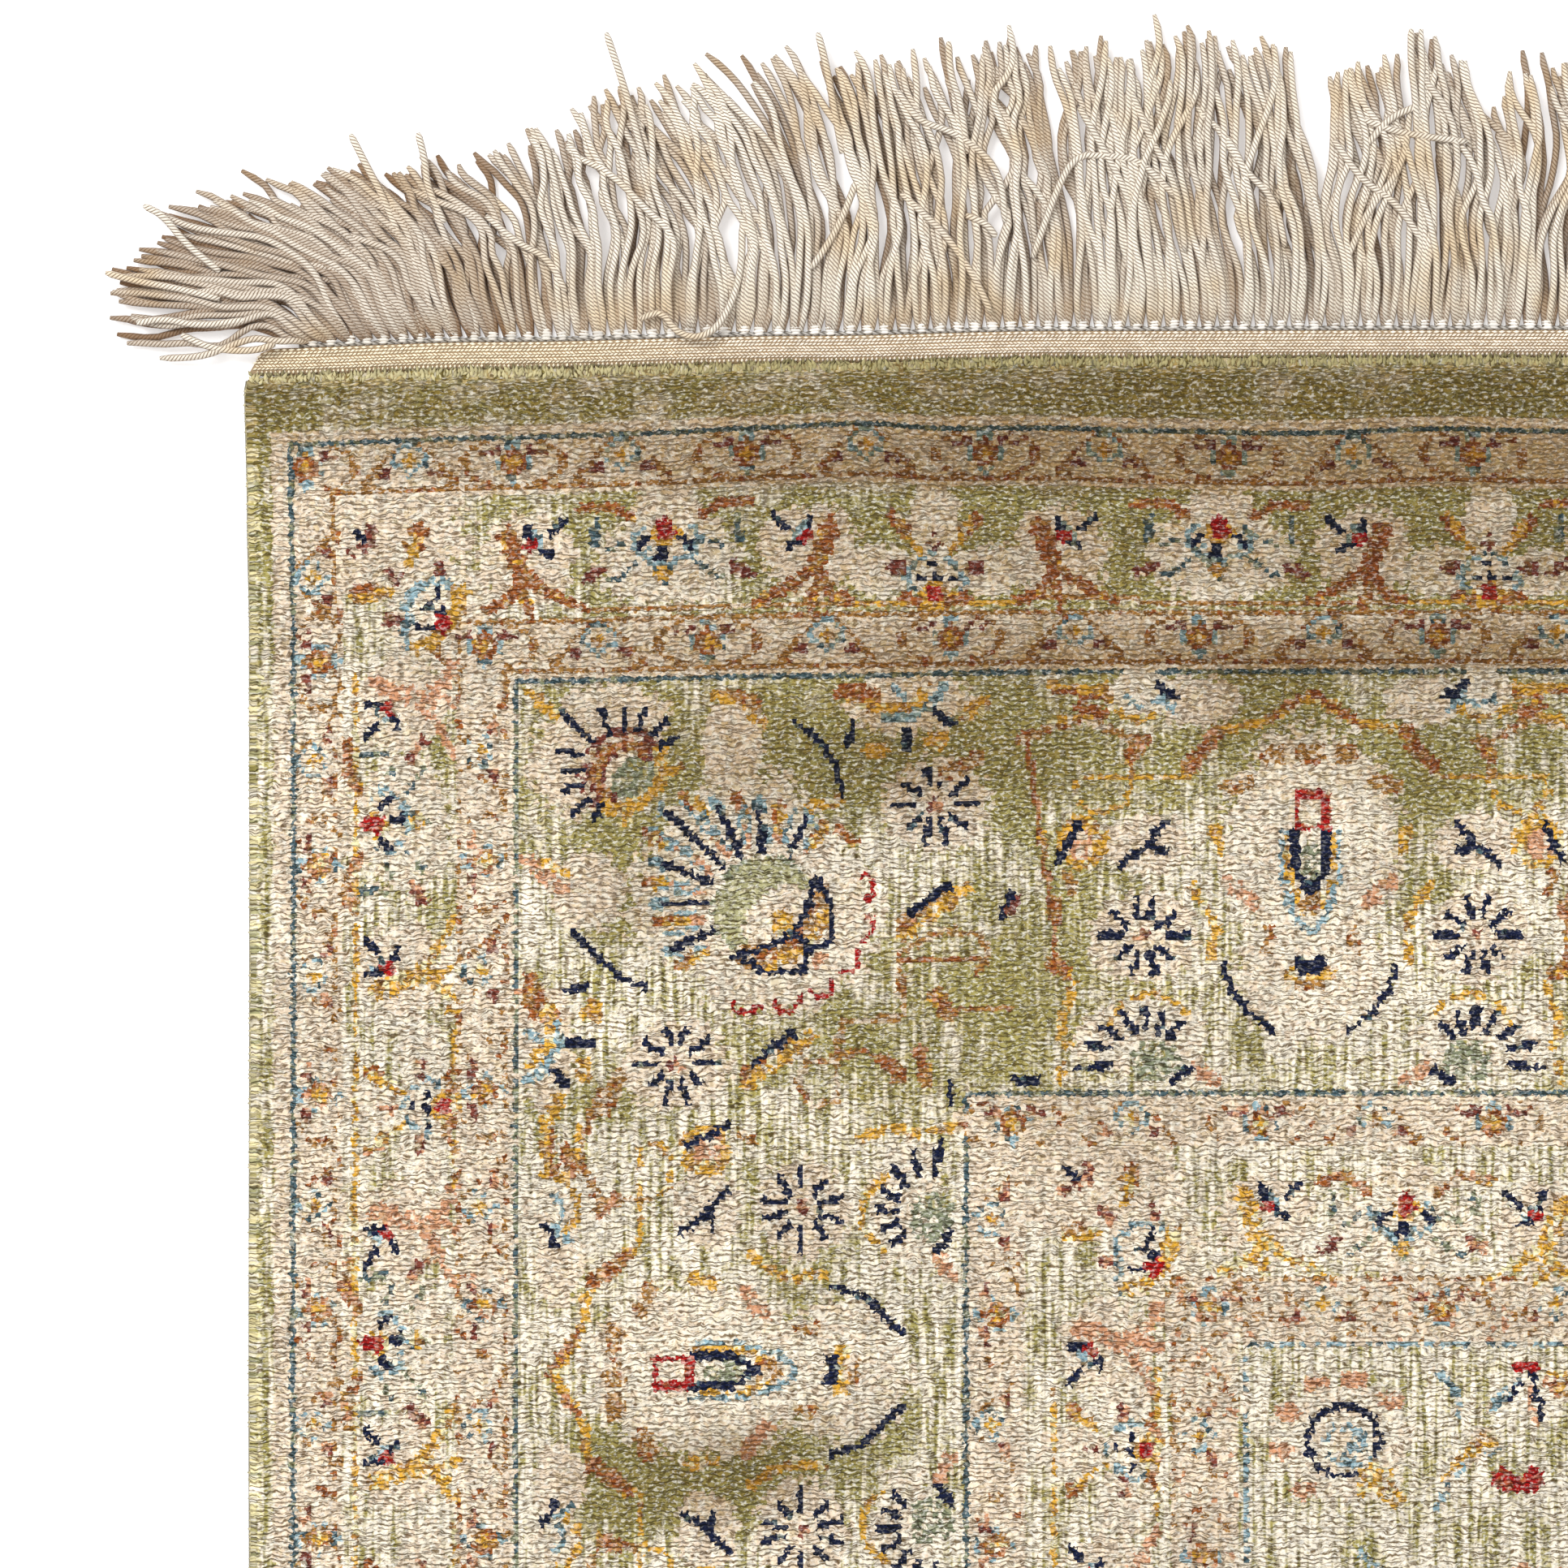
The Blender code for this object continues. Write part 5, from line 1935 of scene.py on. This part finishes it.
@dataclass
class KilimBand:
    """The flat-woven band at an end, with its rows of twined stitches."""

    depth: float = 7.9
    side_inset: float = 0.4
    end_radius: float = 8.0
    end_share: float = 0.82
    least_depth: float = 1.0
    stations: int = 260
    section: Table = ((1.0, 0.0), (1.0, 1.25), (0.95, 1.55), (0.05, 1.55), (0.0, 1.25), (0.0, 0.0))
    stitches: Table = (  # inward, pitch, turn, half length, half width
        (0.55, 2.1, 0.0, 1.1, 0.42), (1.45, 1.2, 0.4, 0.95, 0.36), (2.4, 1.2, 0.4, 0.95, 0.36),
        (3.4, 1.2, -0.35, 0.9, 0.34), (4.2, 1.2, 0.35, 0.9, 0.34), (5.15, 1.2, -0.35, 0.9, 0.34),
        (5.95, 1.2, 0.35, 0.9, 0.34), (7.0, 1.3, 1.5, 0.66, 0.46),
    )
    stitch_end_gap: float = 1.5
    stitch_edge_gap: float = 0.3
    stitch_height: float = 1.6
    stitch_half_height: float = 0.62
    grain: Grain = Grain(turn_jitter=0.12, size_jitter=0.14)

    def build(self, name: str, node: str, lower: bool, material: Material) -> Piece:
        """Makes the band at one end.

        Args:
            name: The piece's name.
            node: The solid that it stands for.
            lower: Whether it is the one at the lower end.
            material: Its finish.

        Returns:
            The finished piece.
        """
        half = RUG_WIDTH / 2 - self.side_inset
        x = np.linspace(-half, half, self.stations)[:, None]
        inward, high = np.array(self.section).T
        points, faces = strip(x, Cloth.end_line(x) + PIECE_GAP + inward * self.depth_at(x), high)
        grains = Grains()
        for number, (inset, pitch, turn, half_length, half_width) in enumerate(self.stitches):
            start = -half + self.stitch_end_gap + (number % 2) * pitch / 2
            spots = np.arange(start, half - self.stitch_end_gap, pitch)
            out = (1 - inset / self.depth) * self.depth
            spots = spots[out < self.depth_at(spots) - self.stitch_edge_gap]
            y = Cloth.end_line(spots) + PIECE_GAP + out
            reach = (half_length, half_width, self.stitch_half_height)
            grains.add(spots, y, self.stitch_height, turn, reach)
        piece = grains.grown(name, points, faces, lower, self.grain, material)
        return ride_on_rug(piece, "kilim_yarn", node)

    def depth_at(self, x: np.ndarray) -> np.ndarray:
        """Returns how deep the band is at x, less towards its rounded ends."""
        over = np.clip(np.abs(x) - (RUG_WIDTH / 2 - self.side_inset - self.end_radius), 0, self.end_radius)
        drop = self.end_radius - np.sqrt(np.maximum(self.end_radius**2 - over**2, 0.0))
        return np.maximum(self.depth - drop * self.end_share, self.least_depth)


# --- the fringe ---------------------------------------------------------------------------------

FRINGE_LIE = (  # root x, lean, reach, bow
    (-384, -50, 14, 3), (-379, -57, 23, 4), (-373, -57, 31, 4), (-367, -54, 39, 4), (-361, -50, 44, 3),
    (-353, -41, 44, 2), (-343, -33, 46, 0), (-333, -24, 49, 0), (-322, -16, 55, 0), (-301, -10, 61, 0),
    (-290, -9, 72, 0), (-272, -15, 75, 3), (-252, -20, 77, 8), (-232, -15, 80, 6), (-202, -12, 78, 2),
    (-171, -8, 85, 1), (-143, -8, 82, 2), (-124, -9, 85, 1), (-100, -11, 84, 3), (-91, -13, 79, 3),
    (-85, -3, 77, 1), (-63, 0, 81, 0), (-46, -3, 79, 1), (-38, 3, 66, 1), (-30, 0, 78, 1),
    (60, -5, 82, 1), (150, 4, 84, -1), (240, -3, 82, 1), (330, 7, 80, -1), (384, 15, 73, -2),
)
CORDS_ACROSS = """
-173,630 -166,650 -160.5,659.8 -152,659.2 -143,658.6 -136,652 -131,646.8
-212,678 -206,669 -197,666.8 -186.5,659.6 -182,652 -181,640
-211,648.5 -204,642 -198,636.4 -190,624.6 -185,614
-192.4,642.2 -186.5,639.8 -183.7,636
-159.5,673.4 -152.5,661 -146.6,650.4 -143,638
-144.3,677.4 -139,664 -134.9,657.4 -131,648 -129,632
-286.5,612.2 -280.1,615 -275.9,607.6 -267.5,606.6 -261.3,613.4 -257.1,625.8 -257,640
-76,663 -70,670.4 -61,674
-78,670 -69,666.4 -58,664.6 -47.4,663.4
-237,627 -232,634 -227.6,642.2 -224,652
-86,664 -78,652 -68,646 -60,634
-64,672 -66,656 -76,644 -82,630
-331,642 -322,634 -313,630 -308,620
-419,607.6 -410,603.4 -398,602.8 -392,605
-120,668 -112,655 -103,647 -100,633
-283,650 -288,668 -291,679 -296.3,695
-356,636 -361,648 -364.8,655 -370.2,665.6
-343,640 -348,650 -348.6,658 -350.7,666
-228,660 -231,676 -232.8,686 -235.1,695
-192,660 -193.6,674 -197,683 -197.3,692.4
-62,664 -62.4,676 -63.8,686 -63.6,696
-408,618 -420,621 -431.7,623 -441,625.6
-408,626 -418,634 -424,642 -430,645
-400,612 -414,610 -424,612.4 -432,611
"""  # the points of each one as x,y
LOCKS_PER_END = 148
LOCK_SIDE_INSET = 16.0
HEADER_RISE = 7.9 + 2 * PIECE_GAP


def lock_roots() -> tuple[np.ndarray, np.ndarray]:
    """Returns X and Y where each lock of an end leaves the band."""
    half = RUG_WIDTH / 2 - LOCK_SIDE_INSET
    pitch = 2 * half / LOCKS_PER_END
    x = -half + pitch * (np.arange(LOCKS_PER_END) + 0.5)
    return x, Cloth.end_line(x) + HEADER_RISE


@dataclass
class KnotRow:
    """The thin cord along the band's edge and the wrapped knots that hold the locks."""

    wraps: Table = (  # rise, half width, height
        (0.55, 1.72, 1.15), (1.35, 1.95, 1.5), (2.2, 1.9, 1.5), (3.0, 1.6, 1.2)
    )
    wrap_girth: float = 0.56
    wrap_half_height: float = 1.05
    wrap_shift: float = 0.22
    wrap_tilt: float = 0.08
    grain: Grain = Grain(segments=6, rings=5, turn_jitter=0.06, size_jitter=0.08, seed=8)
    cord_radius: float = 0.42
    cord_sides: int = 6
    cord_step: float = 0.9
    cord_past_ends: float = 4.0
    cord_rise: float = 0.35
    cord_height: float = 0.95
    cord_turn: float = 4.4
    cord_spread: Pair = (0.4, 0.3)
    seed: int = 4

    def build(self, name: str, node: str, lower: bool, material: Material) -> Piece:
        """Makes one end's row of knots with its double cord."""
        x, y = lock_roots()
        draw = np.random.default_rng(self.seed)
        shift = draw.normal(0.0, self.wrap_shift, x.shape)
        grains = Grains()
        for rise, half_width, height in self.wraps:
            tilt = draw.normal(0.0, self.wrap_tilt, x.shape)
            half = (half_width, self.wrap_girth, self.wrap_half_height)
            grains.add(x + shift, y + rise + shift * 0.5, height, tilt, half)
        run = np.arange(x[0] - self.cord_past_ends, x[-1] + self.cord_past_ends, self.cord_step)
        line = Cloth.end_line(run) + HEADER_RISE + self.cord_rise
        strands = []
        for side in (0.0, math.pi):
            spin = run * math.tau / self.cord_turn + side
            at_y = line + np.cos(spin) * self.cord_spread[0]
            at_z = self.cord_height + np.sin(spin) * self.cord_spread[1]
            strands.append(np.stack([run, at_y, at_z], axis=1))
        cords = Strands(np.array(strands), np.full((2, len(run)), self.cord_radius), self.cord_sides)
        faces, _ = cords.faces()
        piece = grains.grown(name, cords.rings(), faces, lower, self.grain, material)
        return ride_on_rug(piece, "fringe_yarn", node)


class Parting(NamedTuple):
    """A place where the cords part and the floor shows."""

    x: float
    y: float
    half_width: float
    half_length: float
    push: float


@dataclass
class Fringe:
    """Twisted cords, five from each knot, combed by hand into the lie that the rug has."""

    cords_per_lock: int = 5
    steps: int = 22
    sides: int = 6
    radius: float = 1.04
    seed: int = 17
    bundle: int = 84  # more cords, which fan out from the locks at the left end
    bundle_locks: int = 11
    root_spread: float = 0.55
    lie_spread: float = 1.04
    usual_swing: float = 3.8
    stray_share: float = 0.11
    stray_swing: Pair = (6.0, 17.0)
    shortfall: float = 4.5
    lowest: float = 601.0
    lowest_blend: float = 3.0
    layers: int = 5
    layer_rise: float = 0.85
    # painted shade on the dense locks at the left end
    shaded_locks: int = 13
    shade: float = 0.55
    across_height: float = 4.9
    across_tone: float = 0.9
    partings: tuple[Parting, ...] = (
        Parting(-389, 647, 1.6, 4, 2.4), Parting(-396, 642, 1.4, 3, 2.2), Parting(-348.6, 645, 1.5, 4, 2.2),
        Parting(-326.6, 632, 1.4, 4, 2), Parting(-300.5, 655, 1.4, 3, 2), Parting(-267, 669, 1.5, 3, 2.2),
        Parting(-261.3, 639.4, 1.8, 4, 2.4), Parting(-257.6, 633, 1.8, 4, 2.2),
        Parting(-182.8, 658.4, 2.4, 8, 3.6), Parting(-181.1, 676.2, 1.8, 4, 2.6),
        Parting(-183.7, 641.5, 1.8, 5, 2.6), Parting(-172.7, 653, 1.6, 4, 2.4),
        Parting(-91, 686, 3.6, 22, 6), Parting(-40, 691, 3.4, 16, 5),
    )

    def routes(self) -> tuple[np.ndarray, np.ndarray]:
        """Works out every cord of one end.

        Returns:
            Cord by step by XYZ, and how light each cord is: a random tone with painted shade.
        """
        draw = np.random.default_rng(self.seed)
        root_x, root_y = lock_roots()
        lock = np.repeat(np.arange(LOCKS_PER_END), self.cords_per_lock)
        place = np.tile(np.arange(self.cords_per_lock) - (self.cords_per_lock - 1) / 2, LOCKS_PER_END)
        lock = np.concatenate([draw.integers(0, self.bundle_locks, self.bundle), lock])
        place = np.concatenate([draw.uniform(-2.5, 2.5, self.bundle), place])
        count = len(lock)
        s = np.linspace(0.0, 1.0, self.steps)[None, :]
        x0, y0 = root_x[lock] + place * self.root_spread, root_y[lock] + 0.9
        key = root_x[lock] + place * self.lie_spread
        lean, reach, bow = (read_table(FRINGE_LIE, key, column) for column in (1, 2, 3))
        side = draw.normal(0.0, 1.0, count)
        stray = draw.random(count) < self.stray_share
        far_swing = np.sign(side) * draw.uniform(*self.stray_swing, count)
        swing = np.where(stray, far_swing, side * self.usual_swing)
        share = 1.0 + draw.normal(0.0, 0.04, count) - stray * 0.1
        lean = (lean + key - x0 + draw.normal(0.0, 1.2, LOCKS_PER_END)[lock]) * share
        reach = (reach + draw.normal(0.0, 2.0, LOCKS_PER_END)[lock] - self.shortfall) * share
        x = self._bent(x0, x0 + 0.28 * lean + bow * 1.6, x0 + lean, s)
        y = self._bent(y0, y0 + 0.58 * reach, y0 + reach, s)
        ahead_x, ahead_y = np.gradient(x, axis=1), np.gradient(y, axis=1)
        pace = np.hypot(ahead_x, ahead_y) + 1e-6
        far = np.hypot(lean, reach)[:, None] * s
        clump = soft_noise((LOCKS_PER_END, self.steps), (50.0, 3.0), self.seed + 1)[lock]
        sweep = soft_noise((LOCKS_PER_END, self.steps), (15.0, 2.2), self.seed + 2)[lock]
        own = soft_noise((count, self.steps), (count * 0.93, 3.2), self.seed + 3)
        curl = soft_noise((count, self.steps), (count * 0.97, 8.0), self.seed + 4)
        loose = smooth((far - 5.0) / 26.0)
        aside = place[:, None] * 0.35 * smooth((far - 1.0) / 4.0) + swing[:, None] * s**1.7
        aside = aside + loose * (clump * 3.4 + sweep * 2.6 + own * 3.8 + curl * 1.0)
        x, y = x + aside * ahead_y / pace, y - aside * ahead_x / pace
        x = self._parted(x, y)
        blend = self.lowest_blend
        y = self.lowest + blend * np.log1p(np.exp((y - self.lowest) / blend))
        layer = draw.integers(0, self.layers, count)
        level = 0.5 + layer * self.layer_rise + stray * 1.0
        hump = smooth(far / 12.0) * (1 - 0.55 * smooth((s - 0.72) / 0.28))
        z = self.radius + 0.25 + level[:, None] * hump + own * 0.3
        # Painted shade: lower layers darker, strays on top lighter, the locks at the left end darker still;
        # each cord has a random tone too.
        tones_and_shade = 0.45 + 0.15 * layer + draw.uniform(-0.25, 0.3, count) + stray * 0.15
        tones_and_shade = np.clip(tones_and_shade - self.shade * (lock < self.shaded_locks), 0.0, 1.05)
        return np.stack([x, y, np.maximum(z, self.radius)], axis=-1), tones_and_shade

    @staticmethod
    def _bent(start: np.ndarray, bend: np.ndarray, end: np.ndarray, s: np.ndarray) -> np.ndarray:
        """Returns one coordinate along curves that start towards a bend and then reach the end."""
        return (1 - s) ** 2 * start[:, None] + 2 * s * (1 - s) * bend[:, None] + s**2 * end[:, None]

    def laid_across(self) -> np.ndarray:
        """Returns the loose cords that lie across the others, strand by step by XYZ."""
        made = []
        s = np.linspace(0.0, 1.0, self.steps)
        for route in read_rows(CORDS_ACROSS):
            points = np.array(read_values(route))
            for _ in range(2):
                fine = [points[0]]
                for first, second in zip(points[:-1], points[1:]):
                    fine += [first * 0.75 + second * 0.25, first * 0.25 + second * 0.75]
                points = np.array([*fine, points[-1]])
            run = np.concatenate([[0.0], np.cumsum(np.hypot(*np.diff(points, axis=0).T))])
            x, y = (np.interp(s * run[-1], run, points[:, column]) for column in (0, 1))
            z = self.across_height + 1.0 * np.sin(s * math.pi) + 0.2 * np.sin(s * 9.0)
            made.append(np.stack([x, y, z], axis=1))
        return np.array(made)

    def _parted(self, x: np.ndarray, y: np.ndarray) -> np.ndarray:
        """Returns X with the cords pushed to both sides of each parting."""
        for spot in self.partings:
            away = x - spot.x
            beside = np.abs(away / spot.half_width / 2.2) ** 2
            near = np.exp(-beside - ((y - spot.y) / spot.half_length) ** 2)
            side = np.where((away * near).sum(axis=1, keepdims=True) < 0, -1.0, 1.0)
            x = x + side * spot.push * near
        return x

    def build(self, name: str, node: str, lower: bool, material: Material) -> list[Piece]:
        """Makes one end's cords, as a left and a right piece."""
        routes, tones_and_shade = self.routes()
        half = len(routes) // 2
        loose = self.laid_across()
        s = np.linspace(0.0, 1.0, self.steps)
        radii = self.radius * (1 - 0.42 * smooth((s - 0.955) / 0.045)) * (0.8 + 0.2 * smooth(s * 14))
        made = []
        for side, part in (("a", slice(0, half)), ("b", slice(half, len(routes)))):
            shown, light = routes[part], tones_and_shade[part]
            if side == "a":
                shown = np.concatenate([shown, loose])
                light = np.concatenate([light, np.full(len(loose), self.across_tone)])
            starts = np.random.default_rng(self.seed + 9).uniform(0.0, 3.5, len(shown))
            strands = Strands(shown, np.broadcast_to(radii, shown.shape[:2]), self.sides, starts, light)
            piece = strands.piece(f"{name}_{side}", lower)
            piece.data.materials.append(material)
            made.append(ride_on_rug(piece, "fringe_yarn", node))
        return made


# --- the studio ---------------------------------------------------------------------------------


@dataclass
class Studio:
    """A white floor, soft light and a camera straight above the upper left corner."""

    view_x: float = -244.9
    view_y: float = 477.8
    view_side: float = 453.26
    aim_height: float = 5.0
    lens: float = 110.0
    sensor: float = 36.0
    floor_half: float = 4000.0
    floor_drop: float = 0.05
    room_light: float = 0.62

    def build(self) -> None:
        """Makes the camera, the lights, the world and the floor."""
        scene = bpy.context.scene
        scene.view_settings.view_transform = "Standard"
        camera = bpy.data.cameras.new("camera")
        camera.lens = self.lens
        camera.sensor_width = self.sensor
        camera.clip_start = 0.05
        camera.clip_end = 60.0
        holder = bpy.data.objects.new("camera", camera)
        scene.collection.objects.link(holder)
        away = self.view_side * self.lens / self.sensor
        holder.location = (self.view_x * MM, self.view_y * MM, (self.aim_height + away) * MM)
        scene.camera = holder
        self._light("key", (-1.3, 1.5, 1.9), (-0.24, 0.48, 0.0), size=1.1, power=34.0)
        self._light("fill", (1.6, -0.8, 2.2), (0.0, 0.0, 0.0), size=2.4, power=14.0)
        self._world(scene)
        self._floor()

    @staticmethod
    def _light(name: str, at: Triple, to: Triple, size: float, power: float) -> None:
        """Hangs one soft square light that faces a point."""
        lamp = bpy.data.lights.new(name, "AREA")
        lamp.size = size
        lamp.energy = power
        holder = bpy.data.objects.new(name, lamp)
        holder.location = at
        aim = np.array(to) - np.array(at)
        holder.rotation_euler = (
            math.atan2(math.hypot(aim[0], aim[1]), -aim[2]), 0.0, math.atan2(-aim[0], aim[1])
        )
        bpy.context.scene.collection.objects.link(holder)

    def _world(self, scene: bpy.types.Scene) -> None:
        """Fills the room with even white light."""
        world = bpy.data.worlds.new("room")
        world.use_nodes = True
        scene.world = world
        back = world.node_tree.nodes["Background"]
        back.inputs["Color"].default_value = (1.0, 1.0, 1.0, 1.0)
        back.inputs["Strength"].default_value = self.room_light

    def _floor(self) -> None:
        """Lays the floor just under the rug."""
        half = self.floor_half
        corners = ((-half, -half), (half, -half), (half, half), (-half, half))
        points = np.array([(x, y, -self.floor_drop) for x, y in corners])
        floor = new_piece("floor", points, [(0, 1, 2, 3)])
        floor.data.materials.append(FloorFinish().material())


def main() -> None:
    """Builds the rug, piece by piece."""
    logging.basicConfig(level=logging.INFO, format="%(name)s %(message)s")
    Studio().build()
    pile = Pile().build(Design().draw(), PileFinish().material())
    # Its gap colour is painted shade between the overcast turns.
    selvedge_yarn = WovenFinish(
        left=srgb(186, 175, 134), right=srgb(186, 175, 134), gap_shade=srgb(70, 60, 36),
        gap_shade_height=0.8, crest_height=3.2, unevenness=0.5,
    ).material("selvedge")
    band_yarn = WovenFinish().material("band")
    # Its gap colour is painted shade between the wraps of the knots.
    tie_yarn = WovenFinish(
        left=srgb(224, 218, 208), right=srgb(240, 236, 230), gap_shade=srgb(104, 94, 80),
        gap_shade_height=0.9, crest_height=2.1,
    ).material("tie")
    cord_yarn = CordFinish().material("cords")
    trim = [
        Selvedge().build("selvedge_cord_left", False, selvedge_yarn),
        Selvedge().build("selvedge_cord_right", True, selvedge_yarn),
    ]
    # Its gap colour is painted shade under the tufts.
    tuft_yarn = WovenFinish(
        left=srgb(192, 182, 140), right=srgb(152, 142, 98), gap_shade=srgb(76, 66, 40),
        gap_shade_height=2.8, crest_height=4.7, unevenness=0.45,
    ).material("tufts")
    for end, lower in (("top", False), ("bottom", True)):
        trim.append(EdgeTufts().build(f"edge_tufts_{end}", lower, tuft_yarn))
        trim.append(KilimBand().build(f"band_{end}", f"kilim_{end}", lower, band_yarn))
        trim.append(KnotRow().build(f"knots_{end}", f"fringe_{end}", lower, tie_yarn))
        trim += Fringe().build(f"cords_{end}", f"fringe_{end}", lower, cord_yarn)
    LOG.info("sizes written")


if __name__ == "__main__":
    main()
